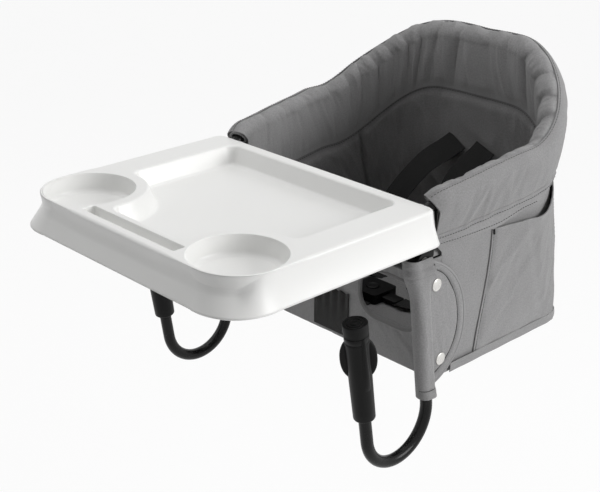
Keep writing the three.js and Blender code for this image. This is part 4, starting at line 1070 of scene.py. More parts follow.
def cloth_piece(name, grid, thickness=CLOTH, keep=None, wrap=False):
    """A closed shell round a net of points. keep marks the points that the cloth still has."""
    rows, columns = grid.shape[:2]
    uv, size = cloth_uv(grid)
    faces = net_faces(rows, columns, wrap=wrap)
    points = grid.reshape(-1, 3)
    if keep is not None:
        kept = keep.reshape(-1)
        faces = [face for face in faces if kept[list(face)].all()]
        used = sorted({i for face in faces for i in face})
        place = {old: new for new, old in enumerate(used)}
        faces = [tuple(place[i] for i in face) for face in faces]
        points, uv = points[used], uv[used]
    obj = piece(name, points, faces, uv=uv, closed=False)
    wall = obj.modifiers.new("thickness", "SOLIDIFY")
    wall.thickness = thickness * TO_METRES
    wall.offset = 0
    wall.use_even_offset = False
    applied(obj)
    obj.data.set_sharp_from_angle(angle=math.radians(60))
    flat = tuple(length * TO_METRES for length in size)
    {"flat": flat, "area": min(net_area(points, faces) * TO_METRES ** 2, flat[0] * flat[1])}
    return obj


print("cloth thickness:", CLOTH, "mm")

# %% [markdown]
# Folds come from fractal noise, stretched along the pull of the cloth and bent into soft ridges.
# A single bulge or dent is a bell curve. Both work in millimetres along the cloth.

# %% Folds
WRINKLE = 34.0


def bulge(x, middle, width):
    return np.exp(-((x - middle) / width) ** 2)


def wrinkles(u, v, seed, scale=1.0, stretch=3.0, lean=0.5):
    """Soft drawn folds. u and v are millimetres along the cloth, and the folds run near v."""
    across = (u + lean * v) / (WRINKLE * scale)
    length = (v - lean * u) / (WRINKLE * scale * stretch)
    flat = [noise.fractal(Vector((a, b, seed)), 0.9, 2.1, 3) for a, b in zip(across.ravel(), length.ravel())]
    ridge = 1 - np.abs(np.array(flat).reshape(u.shape)) * 2.2
    return ridge - 0.45


def grid_of(surface, us, ts):
    return surface(*np.meshgrid(us, ts, indexing="ij"))


print("width of a fold:", WRINKLE, "mm")

# %% [markdown]
# The roll is cloth pulled over the hoop and its foam. It is thicker round the back, and sits a
# little high and outside there. The puckers belong to the cloth band that lies over it. An open
# tunnel was chosen over a solid bar, because its front ends show the steel inside.

# %% Rim roll
PUCKERS = (0.045, 0.12, 0.2, 0.262, 0.307, 0.352, 0.402, 0.455, 0.49, 0.53, 0.568,
           0.603, 0.636, 0.67, 0.703, 0.735, 0.766, 0.815, 0.866, 0.92, 0.965)
ROLL, BORE = 13.0, 9.4
FRONT_REACH = 0.0155
RIM_LENGTH = 1250.0
FRONT_BEND_LENGTH = 44.0


def past_ends(u):
    return np.maximum(np.maximum(-u, u - 1), 0)


def rim_line(u):
    """The rim's centre line, which goes on round the front bends before 0 and after 1."""
    u = np.asarray(u, float)
    past = past_ends(u)
    bend = front_bend(1 - past * RIM_LENGTH / FRONT_BEND_LENGTH)
    bend[..., 0] *= np.where(u > 0.5, -1.0, 1.0)
    return np.where((past > 0)[..., None], bend, rim_at(np.clip(u, 0, 1)))


def rim_frame(u):
    """Directions outwards from the bucket and upwards, square to the rim."""
    along = unit(rim_line(u + 0.002) - rim_line(u - 0.002))
    out = unit(np.stack([along[..., 1], -along[..., 0], 0 * along[..., 0]], -1))
    up = np.cross(along, out)
    return out, up * np.sign(up[..., 2:])


def wall_line(u, height, offset):
    """The wall, which goes straight on past its front ends as the roll does."""
    points = wall_at(np.clip(u, 0, 1), height, np.broadcast_to(offset, u.shape))
    points[..., 1] -= RIM_LENGTH * past_ends(u)
    return points


print("rim length:", RIM_LENGTH, "mm")

# %% [markdown]
# On the hoop's line sits a round tube of cloth. A ring of points outside and one inside, turned
# back through the bore, make it one closed body with an opening at each end.

# %% Roll
def roll_swell(u):
    _, _, turn = along_rim(np.clip(u, 0, 1))
    return smooth((turn - 0.05) / 0.3) * smooth((1.25 - turn) / 0.4)


def roll_point(u, angle, grow=0.0):
    """A point on the roll. The angle is 0 outwards and 90 degrees on top."""
    out, up = rim_frame(u)
    swell = roll_swell(u)
    centre = rim_line(u) + swell[..., None] * (3.0 * out + np.array((0, 0, 3.0)))
    radius = ROLL + 2.8 * swell + 0.25 * np.sin(61 * u + 1.5 * np.sin(angle)) + grow
    return centre + radius[..., None] * (np.cos(angle)[..., None] * out + np.sin(angle)[..., None] * up)


def sleeve_part():
    """The roll's outside, and the bore round the steel that it turns back along."""
    sides, stations = 40, np.linspace(-FRONT_REACH, 1 + FRONT_REACH, 361)
    u, angle = np.meshgrid(stations, 2 * np.pi * np.arange(sides) / sides, indexing="ij")
    out, up = rim_frame(u)
    bore = rim_line(u) + BORE * (np.cos(angle)[..., None] * out + np.sin(angle)[..., None] * up)
    rings = np.concatenate([roll_point(u, angle), bore[::-1]])
    faces = net_faces(len(rings), sides, wrap=True) + closing_faces((len(rings) - 1) * sides, sides)
    along = np.concatenate([stations, stations[::-1]]) * RIM_LENGTH
    around = 2 * math.pi * ROLL * np.arange(sides) / sides
    return rings.reshape(-1, 3), faces, flat_net(along, around)


points, faces, uv = sleeve_part()
roll = piece("rim_roll", points, faces, uv=uv)
finish_piece(roll, "frame", "grey_cloth", "rim_sleeve")
print("roll faces:", len(roll.data.polygons))

# %% [markdown]
# The cloth's upper band comes over the roll from the outside and runs down the inside to the quilt
# seam. The rim is shorter than this band, so it puckers: creases start at the crest and lean as
# they run down, and the cloth is full between them. Each crease is a sharp valley whose place
# moves with the height, so neighbouring creases aren't parallel.

# %% Puckered band
BAND = 66.0
BAND_OVER, BAND_LEAVES = 0.52, math.radians(192)


def nearest_crease(u, t):
    """Signed distance to the nearest crease, as a share of the rim, and that crease's depth."""
    nearest = np.full(u.shape, 1.0)
    depth = np.zeros(u.shape)
    for number, at in enumerate(PUCKERS):
        lean = 0.011 * math.sin(5.1 * number + 1.0) + 0.004 * math.cos(3.3 * number)
        reach = 0.62 + 0.38 * math.sin(2.3 * number + 0.4)
        place = at + lean * (t - 0.3) * 1.8
        away = u - place
        closer = np.abs(away) < np.abs(nearest)
        nearest = np.where(closer, away, nearest)
        fade = smooth(t / 0.25) * smooth((0.55 + 0.5 * reach - t) / 0.3)
        depth = np.where(closer, (0.55 + 0.45 * reach) * (0.35 + 0.65 * fade), depth)
    return nearest, depth


def band_surface(u, t):
    """Over the roll for the first half, and then straight down to the quilt seam."""
    angle = mix(math.radians(68), BAND_LEAVES, np.minimum(t / BAND_OVER, 1))
    on_roll = roll_point(u, angle, grow=mix(0.3, 2.2, smooth(t / 0.16)))
    start = roll_point(u, np.full(u.shape, BAND_LEAVES), grow=2.2)
    seam = wall_line(u, wall_top(np.clip(u, 0, 1)) + 3.0 - BAND, -4.2)
    down = np.clip((t - BAND_OVER) / (1 - BAND_OVER), 0, 1)
    surface = np.where((t < BAND_OVER)[..., None], on_roll, mix(start, seam, down[..., None]))
    out, up = rim_frame(u)
    normal = normals_of(surface)
    facing = mix(up, -out, smooth((t - 0.2) / 0.4)[..., None])
    normal = normal * np.sign(np.sum(normal * facing, -1, keepdims=True))
    away, depth = nearest_crease(u, t)
    back = 0.45 + 0.55 * roll_swell(u)
    valley = np.exp(-np.abs(away) / 0.0042)
    full = 1 - np.exp(-(away / 0.016) ** 2)
    lean_over = 1.5 * np.sign(away) * np.exp(-((np.abs(away) - 0.009) / 0.006) ** 2)
    ends = smooth(t / 0.14) * smooth((1 - t) / 0.1)
    ripple = 1.17 * wrinkles(RIM_LENGTH * u, 110 * t, 9.0, 0.8, 2.6, 0.3)
    bow = 3.6 * np.sin(np.pi * down) ** 0.8
    height = back * (2.6 * full - 4.4 * valley * depth - 0.2 + depth * lean_over) + ripple + bow
    return surface + normal * (height * ends)[..., None]


band_us = np.linspace(-FRONT_REACH, 1 + FRONT_REACH, 561)
band = cloth_piece("puckered_band", grid_of(band_surface, band_us, np.linspace(0, 1, 58)), 1.3)
finish_piece(band, "frame", "grey_cloth")

# %% [markdown]
# The hem is the same cloth after it leaves the roll's outer top: it hangs over the side of the
# bucket as a band with a turned and stitched lower edge. Small folds start at the puckers and
# fade downwards.

# %% Hem band
HEM_STARTS, HEM_LEAVES = math.radians(76), math.radians(-12)
HEM_CURL, HEM_TURN_UP = 0.34, 0.885


def hem_foot(u):
    """The hem's lower edge. It stays over the place where a folded hook lies."""
    _, side, turn = along_rim(np.clip(u, 0, 1))
    return mix(mix(1.6, 12.0, side ** 1.6), 34.0, turn)


def sway(distance):
    return 0.8 * np.sin(distance / 31 + 1.4 * np.sin(distance / 61))


def hem_surface(u, t):
    """Round the roll's outside for the first third, and then down over the bucket's side."""
    fall = np.clip((t - HEM_CURL) / (1 - HEM_CURL), 0, 1)
    angle = mix(HEM_STARTS, HEM_LEAVES, np.minimum(t / HEM_CURL, 1))
    on_roll = roll_point(u, angle, grow=2.4)
    start = roll_point(u, np.full(u.shape, HEM_LEAVES), grow=2.4)
    foot = wall_line(u, hem_foot(u), 4.8)
    surface = np.where((t < HEM_CURL)[..., None], on_roll, mix(start, foot, fall[..., None]))
    distance = RIM_LENGTH * u
    away, depth = nearest_crease(u, np.zeros_like(u))
    drawn = 1.8 * np.exp(-np.abs(away) / 0.006) * depth * np.exp(-4.0 * t) * smooth(t / 0.05)
    soft = 2.0 * wrinkles(distance, 95 * t, 33.0, 1.5, 2.6, 0.55)
    soft = soft * smooth((t - 0.1) / 0.4) * smooth((1.06 - t) / 0.2)
    edge = 0.9 * smooth((t - HEM_TURN_UP) / 0.015) - 0.7 * bulge(t, HEM_TURN_UP, 0.012)
    out, _ = rim_frame(u)
    proud = soft + sway(distance) * fall + edge - drawn + 1.2 * np.sin(np.pi * fall)
    return surface + out * proud[..., None]


hem_us = np.linspace(-FRONT_REACH, 1 + FRONT_REACH, 441)
hem_ts = np.concatenate([
    np.linspace(0, HEM_CURL, 12), np.linspace(HEM_CURL, 0.86, 18)[1:], np.linspace(0.86, 1, 12)[1:]])
hem = cloth_piece("hem_band", grid_of(hem_surface, hem_us, hem_ts), 1.4)
finish_piece(hem, "frame", "grey_cloth", "rim_hem")

# %% [markdown]
# The hem's turned-up edge is its own strip at each side. It hangs lower than the place where a
# folded hook lies, so it has to give way on its own, while the band above it stays on the roll.

# %% Hem strips
STRIP_END = 0.205


def hem_edge(u):
    """The lower edge of the hem with its strip."""
    _, side, turn = along_rim(np.clip(u, 0, 1))
    low = -8.0 - 3.0 * bulge(side, 0.5, 0.3) + 12.0 * smooth((side - 0.62) / 0.5)
    return np.minimum(mix(low, 34.0, smooth(turn / 0.9) * 0.98), hem_foot(u))


def strip_surface(u, t):
    z = mix(hem_foot(u) + 2.5, hem_edge(u), t)
    fade = smooth((STRIP_END - u) / 0.03)
    return wall_line(u, z, 1.6 + fade * (2.9 + sway(RIM_LENGTH * u) + 0.5 * np.sin(np.pi * t)))


strip_grid = grid_of(strip_surface, np.linspace(-FRONT_REACH, STRIP_END, 150), np.linspace(0, 1, 12))
for side, sign in SIDES:
    strip = cloth_piece(f"hem_strip_{side}", strip_grid * (sign, 1, 1), 1.3)
    finish_piece(strip, "frame", "grey_cloth")
print("hem edge at the front:", round(float(hem_edge(np.array(0.0))), 1), "mm")

# %% [markdown]
# The outer cloth is two sides and a back, cut to the wall and stretched between the rim and the
# base, with shallow drawn folds. The base cloth closes the bucket underneath.

# %% Outer cloth
SEAM_SHARE = 0.25


def outer_cloth(u0, u1, seed):
    """A panel of the wall. Its upper front corner reaches forward, up to the hoop's leg."""
    def surface(u, t):
        height = mix(wall_top(u) - 0.5, SEAT_BOTTOM, t)
        wrinkle = wrinkles(RIM_LENGTH * u, 300 * t, seed, 1.6, 2.5, 0.35)
        panel = wall_at(u, height, 0.5 * wrinkle * np.sin(np.pi * t) ** 0.5)
        from_front = np.minimum(u, 1 - u)
        panel[..., 1] -= 13.0 * smooth((height + 22) / 16) * smooth(1 - from_front / 0.02)
        return panel

    return grid_of(surface, np.linspace(u0, u1, max(24, int((u1 - u0) * 220))), np.linspace(0, 1, 46))


PANELS = (("side", "right", 0.0, SEAM_SHARE), ("side", "left", 1 - SEAM_SHARE, 1.0),
          ("back", "", SEAM_SHARE, 1 - SEAM_SHARE))
for number, (kind, side, u0, u1) in enumerate(PANELS):
    name = f"{kind}_cloth_{side}" if side else f"{kind}_cloth"
    panel = cloth_piece(f"outer_{name}", outer_cloth(u0, u1, 3.0 + number))
    finish_piece(panel, "frame", "grey_cloth", name)


def floor_ring(inset):
    """The bucket's lower outline, moved inwards, without its closing point."""
    points = bottom_at(np.linspace(0, 1, 97))[:-1]
    depth = BOTTOM_BACK_Y - SEAT_FRONT_Y
    y = SEAT_FRONT_Y + inset + (points[:, 1] - SEAT_FRONT_Y) * (depth - 2 * inset) / depth
    return np.column_stack([points[:, 0] * (1 - inset / BOTTOM_HALF), y, np.zeros(len(points))])


def pillow(ring, profile):
    """A closed body with poles, from rings that shrink towards the middle of an outline."""
    centre = np.array((0, (ring[:, 1].max() + ring[:, 1].min()) / 2, 0))
    size = len(ring)
    rings = [centre + (ring - centre) * (share, share, 0) + (0, 0, z) for share, z in profile if share > 0]
    points = np.concatenate([*rings, [centre + (0, 0, profile[0][1]), centre + (0, 0, profile[-1][1])]])
    faces = net_faces(len(rings), size, wrap=True)
    first, last, start = len(points) - 2, len(points) - 1, (len(rings) - 1) * size
    faces += [((i + 1) % size, i, first) for i in range(size)]
    faces += [(start + i, start + (i + 1) % size, last) for i in range(size)]
    return points, faces


def base_profile():
    """The base sags a little. It is 1.6 mm thick, from the middle below to the middle above."""
    shares = np.linspace(0.06, 1, 14)
    below = [(share, -199.1 - 2.2 * (1 - share ** 2) - 0.8) for share in (0, *shares)]
    return below + [(share, z + 1.6) for share, z in below[::-1]]


points, faces = pillow(floor_ring(0.6), base_profile())
base = piece("base_cloth", points, faces, uv=points[:, :2])
finish_piece(base, "frame", "grey_cloth", "bottom_cloth")
print("outer cloth panels:", len(PANELS))

# %% [markdown]
# ## The padded lining
# The bucket is lined with three quilted pads. They are thin behind the puckered band and swell
# below the quilt seam, where short gathers run down from the stitches. A simulation would lose
# the seams, so each pad is one closed form: a flat back on the outer cloth, and a front whose
# height falls to almost nothing along every seam.

# %% Lining pads
LINING_BOTTOM, LINING_BACK = -160.0, -1.7


def lining_height(u, below, fall, seed, u0, u1):
    """How far the pad's front stands off, from the distance below the rim."""
    under = below - BAND
    seam = 1 - 0.72 * np.exp(-(under / 8.0) ** 2)
    edge_u = np.minimum(u - u0, u1 - u) * RIM_LENGTH
    sides = 1 - 0.86 * np.exp(-(edge_u / 8.5) ** 2)
    lower = smooth((under + 2) / 14)
    foot = 1 - 0.6 * np.exp(-(fall / 7) ** 2)
    distance = RIM_LENGTH * u
    gathers = 2.2 * np.maximum(np.sin(distance / 7.5 + 2.2 * np.sin(distance / 37)), -0.2)
    gathers = gathers * np.exp(-np.maximum(under, 0) / 15)
    folds = 2.8 * wrinkles(distance, below, seed + 4, 1.9, 2.6, 0.45)
    puff = mix(2.6, 8.6, lower) + lower * (folds + gathers)
    return np.maximum(puff * seam * sides * foot, 0.5)


def lining_part(u0, u1, seed):
    """Rings round the pad, front down and back up, closed by faces between them at both ends."""
    us = np.linspace(u0, u1, max(60, int((u1 - u0) * 380)))
    ts = np.linspace(0, 1, 96)
    u, t = np.meshgrid(us, ts, indexing="ij")
    top = wall_top(u) + 3.0
    z = mix(top, LINING_BOTTOM, t)
    height = lining_height(u, top - z, z - LINING_BOTTOM, seed, u0, u1)
    front = wall_at(u, z, LINING_BACK - height)
    rear = wall_at(u, z, np.full(u.shape, LINING_BACK))
    shape = np.concatenate([front, rear[:, ::-1]], 1)
    size = shape.shape[1]
    uv = cloth_uv(front)[0].reshape(*front.shape[:2], 2)
    faces = net_faces(len(us), size, wrap=True)
    first = [(k, k + 1, size - 2 - k, size - 1 - k) for k in range(len(ts) - 1)]
    faces += [face[::-1] for face in first]
    start = (len(us) - 1) * size
    faces += [tuple(start + i for i in face) for face in first]
    return shape.reshape(-1, 3), faces, np.concatenate([uv, uv[:, ::-1]], 1).reshape(-1, 2)


for number, (kind, side, u0, u1) in enumerate(PANELS):
    name = f"{kind}_lining_{side}" if side else f"{kind}_lining"
    points, faces, uv = lining_part(u0, u1, 20.0 + 3 * number)
    pad = piece(f"quilted_{name}", points, faces, uv=uv)
    # The pads take the darker lining colour, which is painted shade for the inside of the bucket.
    finish_piece(pad, "frame", "grey_lining", name)
print("lining pads:", len(PANELS))

# %% [markdown]
# ## The seat
# The cushion rests on a board in the bottom of the bucket. It starts as a slightly small plain
# form, and a short cloth simulation with a little pressure rounds it. Its quilted rows come after
# that, because the remesh would wipe them out.

# %% Seat cushion
CUSHION_BOTTOM, CUSHION_TOP = -194.7, -170.7
QUILT_ROWS, QUILT_CROSS_ROW, QUILT_DEPTH = (-105, -35, 35, 105), 232, 2.6
VOXEL, PRESSURE, FRAMES, LARGEST_MOVE = 0.006, 4.0, 20, 0.005


def simulated(obj):
    """Swells a closed mesh as cloth under pressure and keeps each point within a limit."""
    start = obj.data
    remesh = obj.modifiers.new("even", "REMESH")
    remesh.mode = "VOXEL"
    remesh.voxel_size = VOXEL
    applied(obj)
    rest = point_places(obj.data)
    cloth = obj.modifiers.new("cloth", "CLOTH")
    cloth.settings.use_pressure = True
    cloth.settings.uniform_pressure_force = PRESSURE
    cloth.settings.effector_weights.gravity = 0
    scene = bpy.context.scene
    for number in range(1, FRAMES + 1):
        scene.frame_set(number)
    applied(obj)
    scene.frame_set(1)
    moves = point_places(obj.data) - rest
    far = np.linalg.norm(moves, axis=1, keepdims=True)
    kept = rest + moves * np.minimum(1, LARGEST_MOVE / np.maximum(far, 1e-9))
    obj.data.vertices.foreach_set("co", kept.ravel())
    bpy.data.meshes.remove(start)


def point_places(mesh):
    return np.array([vertex.co[:] for vertex in mesh.vertices])


print("simulation:", f"{FRAMES} frames")

# %% [markdown]
# The pad's outline is the bucket's base, a little smaller. Each seam of the quilting is a narrow
# dent across the top, and the sides and the bottom stay plain.

# %% Quilted cushion
def cushion_part():
    levels = [(0, 0.0), (0.5, 0.0), (0.9, 0.0), (0.984, 0.0), (1.0, 0.3), (1.0, 0.72), (0.97, 0.97),
              (0.9, 1.1), (0.7, 1.14), (0.4, 1.16)]
    profile = [(share, mix(CUSHION_BOTTOM, CUSHION_TOP, up)) for share, up in levels]
    profile.append((0, CUSHION_TOP + 3.8))
    return pillow(floor_ring(9.5), profile)


points, faces = cushion_part()
cushion = piece("seat_pad", points, faces)
simulated(cushion)
finer = cushion.modifiers.new("finer", "SUBSURF")
finer.levels = finer.render_levels = 1
applied(cushion)
at = point_places(cushion.data) / TO_METRES
on_top = smooth((at[:, 2] - CUSHION_TOP + 8) / 6)
rows = sum(bulge(at[:, 0], x, 3.0) for x in QUILT_ROWS) + bulge(at[:, 1], QUILT_CROSS_ROW, 3.0)
at[:, 2] -= QUILT_DEPTH * np.minimum(rows, 1) * on_top
at[:, 2] = np.clip(at[:, 2], CUSHION_BOTTOM, CUSHION_TOP + 4.9)
cushion.data.vertices.foreach_set("co", (at * TO_METRES).ravel())
layers = cushion.data.uv_layers
layer = layers[0] if layers else layers.new(name="cloth")
layer.name = "cloth"
set_uv(cushion.data, layer, at[:, :2] - (at[:, 2:] - CUSHION_TOP) * unit(at[:, :2] - (0, 237)))
cushion.data.polygons.foreach_set("use_smooth", [True] * len(cushion.data.polygons))
# The cushion takes the darker lining colour, which is painted shade for the bottom of the bucket.
finish_piece(cushion, "frame", "grey_lining", "seat_cushion")
print("cushion points:", len(at))

# %% [markdown]
# The front panel closes the bucket below the tray, with an opening for each leg. It is two soft
# rings of cloth, sewn to each other on the middle line. Each ring runs from the opening's rounded
# edge to the panel's outline, so the folds can follow the opening as they do on the real thing.

# %% Front panel
PANEL_BACK, PANEL_FRONT = 91.1, 86.1
OPENING_BOX, OPENING_CORNER = (50.0, 156.0, -146.0, -76.0), 30.0
OPENING_MIDDLE = np.array((103.0, -111.0))
PANEL_HALF, PANEL_TOP, PANEL_FOOT = 178.4, -36.0, -197.6


def rounded_box(x0, x1, z0, z1, radii, per_corner=9, spacing=6.0):
    """A box's outline. Its corners start at the far top one and go round against the clock."""
    a, b, c, d = radii
    return outline([((x1 - a, z1 - a), a, 0, 90, per_corner), ((x0 + b, z1 - b), b, 90, 180, per_corner),
                    ((x0 + c, z0 + c), c, 180, 270, per_corner), ((x1 - d, z0 + d), d, 270, 360, per_corner)],
                   spacing)[0]


OPENING = rounded_box(*OPENING_BOX, [OPENING_CORNER] * 4)


def edge_along(ring, centre, angles):
    """Where rays from a middle point meet an outline."""
    from_centre = ring - centre
    spokes = np.arctan2(from_centre[:, 1], from_centre[:, 0])
    order = np.argsort(spokes)
    spokes, from_centre = spokes[order], np.tile(from_centre[order], (3, 1))
    spokes = np.concatenate([spokes - 2 * np.pi, spokes, spokes + 2 * np.pi])
    wrapped = (angles + np.pi) % (2 * np.pi) - np.pi
    return np.stack([np.interp(wrapped, spokes, from_centre[:, k]) for k in (0, 1)], 1) + centre


def panel_ring(sign):
    """Rings from the opening out to the panel's edge. Some rays go straight to the panel's corners."""
    outer = rounded_box(0.4, PANEL_HALF, PANEL_FOOT, PANEL_TOP, [1.0, 1.0, 1.0, 18.0], per_corner=3)
    corners = np.array(((178.0, -36), (0.8, -36), (0.8, PANEL_FOOT), (172, -190))) - OPENING_MIDDLE
    rays = np.concatenate([np.linspace(-np.pi, np.pi, 181)[:-1], np.arctan2(corners[:, 1], corners[:, 0])])
    angles = np.sort(rays)
    opening, edge = (edge_along(ring, OPENING_MIDDLE, angles)[None] for ring in (OPENING, outer))
    shares = np.linspace(0, 1, 22)
    grid = mix(opening, edge, shares[:, None, None])
    fold = wrinkles(grid[..., 0], grid[..., 1], 41.0 + sign, 1.0, 2.2, 0.8)
    draw = 0.9 * np.sin(18 * angles)[None] * np.exp(-shares / 0.35)[:, None]
    fade = np.minimum(shares / 0.12, 1) * (1 - shares) ** 0.4
    y = mix(PANEL_FRONT, PANEL_BACK, 0.5) - (1.5 * fold + draw) * fade[:, None]
    return np.stack([sign * grid[..., 0], y, grid[..., 1]], -1)


print("rings and rays of a panel half:", panel_ring(1).shape[:2])

# %% [markdown]
# The edge of each leg opening is bound with lining cloth. A thin bar swept round the opening
# gives the same full, rolled look as a folded tape would.

# %% Bound openings
def opening_binding(sign):
    """A bound edge all round the opening. The bar is swept past its start, and the extra is cut off."""
    loop = np.column_stack([sign * OPENING[:, 0], np.full(len(OPENING), 88.4), OPENING[:, 1]])
    around = np.concatenate([loop[-2:], loop, loop[:3]])
    rings = sweep(around, 3.1, 12, capped=False)[0].reshape(len(around), 12, 3)[2:-3]
    faces = net_faces(len(rings), 12, wrap=True) + closing_faces((len(rings) - 1) * 12, 12)
    return rings.reshape(-1, 3), faces


for side, sign in SIDES:
    name = f"front_panel_{side}"
    panel = cloth_piece(name, panel_ring(sign), 3.6, wrap=True)
    finish_piece(panel, "frame", "grey_cloth", "front_panel")
    # The binding takes the darker lining colour, the same painted shade as the lining.
    finish_piece(joined(f"leg_binding_{side}", [opening_binding(sign)]), "frame", "grey_lining")
print("front panel halves:", 2)

# %% [markdown]
# A black patch reinforces the middle of the panel, where the crotch strap is sewn in. Its upper
# edge is gathered, so it rises and falls in small pleats.

# %% Patch
PATCH_HALF, PATCH_FOOT, PATCH_TOP = 33.0, -192.0, -128.0


def patch_surface(s, t):
    x = mix(-PATCH_HALF, PATCH_HALF, s)
    pleat = np.sin(x / PATCH_HALF * math.pi * 4.5)
    z = mix(PATCH_FOOT, PATCH_TOP + 1.6 * pleat, t)
    y = 84.9 - 1.3 * pleat * t ** 2 - 0.5 * np.sin(np.pi * t)
    return np.stack([x, y, z], -1)


patch_net = grid_of(patch_surface, np.linspace(0, 1, 67), np.linspace(0, 1, 34))
patch = cloth_piece("gathered_patch", patch_net, 1.3)
finish_piece(patch, "frame", "black_cloth", "crotch_patch")

# %% [markdown]
# The pocket runs round the back and the rear half of each side. Its mouth droops between the
# hem and the corners, and its cloth falls in long soft diagonal folds. A bound edge closes it
# along the bottom.

# %% Rear pocket
POCKET_FRONT_LOW, POCKET_FRONT_HIGH = 138.0, 173.0
POCKET_FOOT = SEAT_BOTTOM + 0.4


def pocket_start(t):
    """The front seam leans: it starts further back at the mouth than at the base."""
    lean = mix(POCKET_FRONT_HIGH, POCKET_FRONT_LOW, smooth(t * 0.75 + 0.12))
    return RIM_SIDE * (lean - RIM_START_Y) / (RIM_CORNER_Y - RIM_START_Y)


def pocket_top(u):
    return hem_edge(np.minimum(u, 1 - u)) + 1.0


def pocket_surface(u, t):
    """The pocket's cloth where the front seam would be upright; the side parts are then sheared."""
    half = np.minimum(u, 1 - u) * 2
    droop = 15.0 * bulge(half, 0.36, 0.12) + 7.0 * bulge(half, 0.86, 0.16)
    top = pocket_top(u) - droop - 4.0 * smooth((half - 0.2) / 0.1)
    z = mix(top, POCKET_FOOT, t)
    mouth = 7.0 * bulge(half, 0.37, 0.13) * np.clip(1 - t * 2.2, 0, 1) ** 2
    distance, down = RIM_LENGTH * u, 230 * t
    fold = wrinkles(distance, down, 61.0, 2.6, 3.6, 0.95)
    fold = fold + 0.18 * wrinkles(distance, down, 67.0, 0.9, 3.0, 0.8)
    edge = 0.8 * smooth((0.052 - t) / 0.012)
    swell = 2.4 * np.sin(np.pi * t) + 3.4 * fold * np.sin(np.pi * np.clip(t * 0.9 + 0.06, 0, 1)) ** 0.7
    return wall_at(u, z, 2.6 + mouth + edge + np.clip(swell, -0.9, 7.0))


def pocket_part(side):
    ts = np.concatenate([np.linspace(0, 0.07, 7), np.linspace(0.07, 1, 46)[1:]])
    s, t = np.meshgrid(np.linspace(0, 1, 130 if side else 190), ts, indexing="ij")
    if not side:
        return pocket_surface(mix(SEAM_SHARE, 1 - SEAM_SHARE, s), t)
    u = mix(pocket_start(t), SEAM_SHARE, s)
    sewn = smooth(s / 0.05)[..., None]
    seam = wall_at(u, mix(pocket_top(u), POCKET_FOOT, t), np.full(u.shape, 2.0))
    return mix(seam, pocket_surface(u, t), sewn) * (side, 1, 1)


print("pocket foot:", round(POCKET_FOOT, 1), "mm")

# %% [markdown]
# The pocket is sewn down along its foot under a narrow bound edge. It puckers faintly, because
# the tape is stitched a little tighter than the cloth.

# %% Pocket and its bound edge
def binding_grid(side):
    """The bound edge along the pocket's foot."""
    u0, u1 = (0.02, SEAM_SHARE) if side else (SEAM_SHARE, 1 - SEAM_SHARE)
    s, t = np.meshgrid(np.linspace(0, 1, 101), np.linspace(0, 1, 9), indexing="ij")
    u = mix(u0, u1, s)
    z = mix(SEAT_BOTTOM + 12.5, SEAT_BOTTOM - 1.2, t)
    roll_edge = 0.7 * np.sin(np.pi * t) + 0.25 * np.sin(RIM_LENGTH * u / 8)
    return wall_at(u, z, 4.4 - 0.8 * t + roll_edge) * (side or 1, 1, 1)


pocket_parts = {"right": 1, "back": 0, "left": -1}
for part, side in pocket_parts.items():
    pocket = cloth_piece(f"pocket_{part}", pocket_part(side), 1.4)
    finish_piece(pocket, "frame", "grey_cloth", "rear_pocket")
    binding = cloth_piece(f"pocket_binding_{part}", binding_grid(side), 1.0)
    finish_piece(binding, "frame", "grey_cloth")
print("pocket parts:", list(pocket_parts))

# %% [markdown]
# Each hook's rear leg is wrapped by a flap that starts at the front seam, goes round the front of
# the tube and is snapped onto the side. Its rear edge is a D with a raised piping.

# %% Snap flaps
FLAP_BOTTOM, FLAP_TOP, FLAP_CLOTH = -206.0, -5.0, 1.4
FLAP_SLOPE, FLAP_REACH, FLAP_BORDER = 22.0, 92.0, 11.0
FLAP_MIDDLE, FLAP_LAYER = 195.4, 185.2
FLAP_WIDEST, FLAP_HALF, SEAM_INSET = -111.0, 94.5, 0.3
LEG_FOOT = (61.46, -213.35)
PIPING_TIP, PIPING_RADIUS = 0.3, 1.8
DISC_FOOT = PIVOT[1] - 13.5


def leg_y(z):
    return LEG_FOOT[0] - (z - LEG_FOOT[1]) * math.tan(LEG_LEAN)


def flap_wrap(z):
    """The wrap's radius, and how far it stands ahead of the leg: tight below the hinge, wide at it."""
    at_hinge = smooth((z + 66) / 44)
    return mix(10.4, 12.4, at_hinge), mix(2.0, 9.5, at_hinge)


def flap_end(z):
    radius, ahead = flap_wrap(z)
    drop = np.minimum(np.abs(z - FLAP_WIDEST) / FLAP_HALF, 1)
    return math.pi * radius + ahead + np.maximum(FLAP_REACH * (1 - drop ** 2.2) ** 0.55, 12.0)


def flap_place(distance, z):
    """Where a point of the flap lies, from its distance along the cloth past the wrap's start."""
    radius, ahead = flap_wrap(z)
    wrap_length = math.pi * radius
    wrap_y = leg_y(z) - ahead
    near_disc = smooth(1 + (z - DISC_FOOT) / 12.4)
    slope_start = wrap_length + ahead + mix(4.5, 14.5, near_disc)
    angle = math.pi + np.clip(distance, 0, wrap_length) / radius
    x = FLAP_MIDDLE + radius * np.cos(angle)
    y = wrap_y + radius * np.sin(angle)
    flat = mix(FLAP_MIDDLE + radius, FLAP_LAYER, smooth((distance - slope_start) / FLAP_SLOPE))
    x = np.where(distance > wrap_length, flat, x)
    y = np.where(distance > wrap_length, wrap_y + distance - wrap_length, y)
    seam = wall_at(np.zeros_like(z), z)
    back = np.clip(-distance / np.maximum(seam[..., 1] - SEAM_INSET - wrap_y, 1), 0, 1)
    x = np.where(distance < 0, mix(FLAP_MIDDLE - radius, seam[..., 0], back), x)
    y = np.where(distance < 0, wrap_y - distance, y)
    return x, y


print("bow at its widest:", round(float(flap_end(FLAP_WIDEST)), 1), "mm of cloth")

# %% [markdown]
# The flap is cut flat, so its outline is a plain D in the cloth's own plane. Its distance to that
# edge shapes the padded border and keeps the folds off the seam.

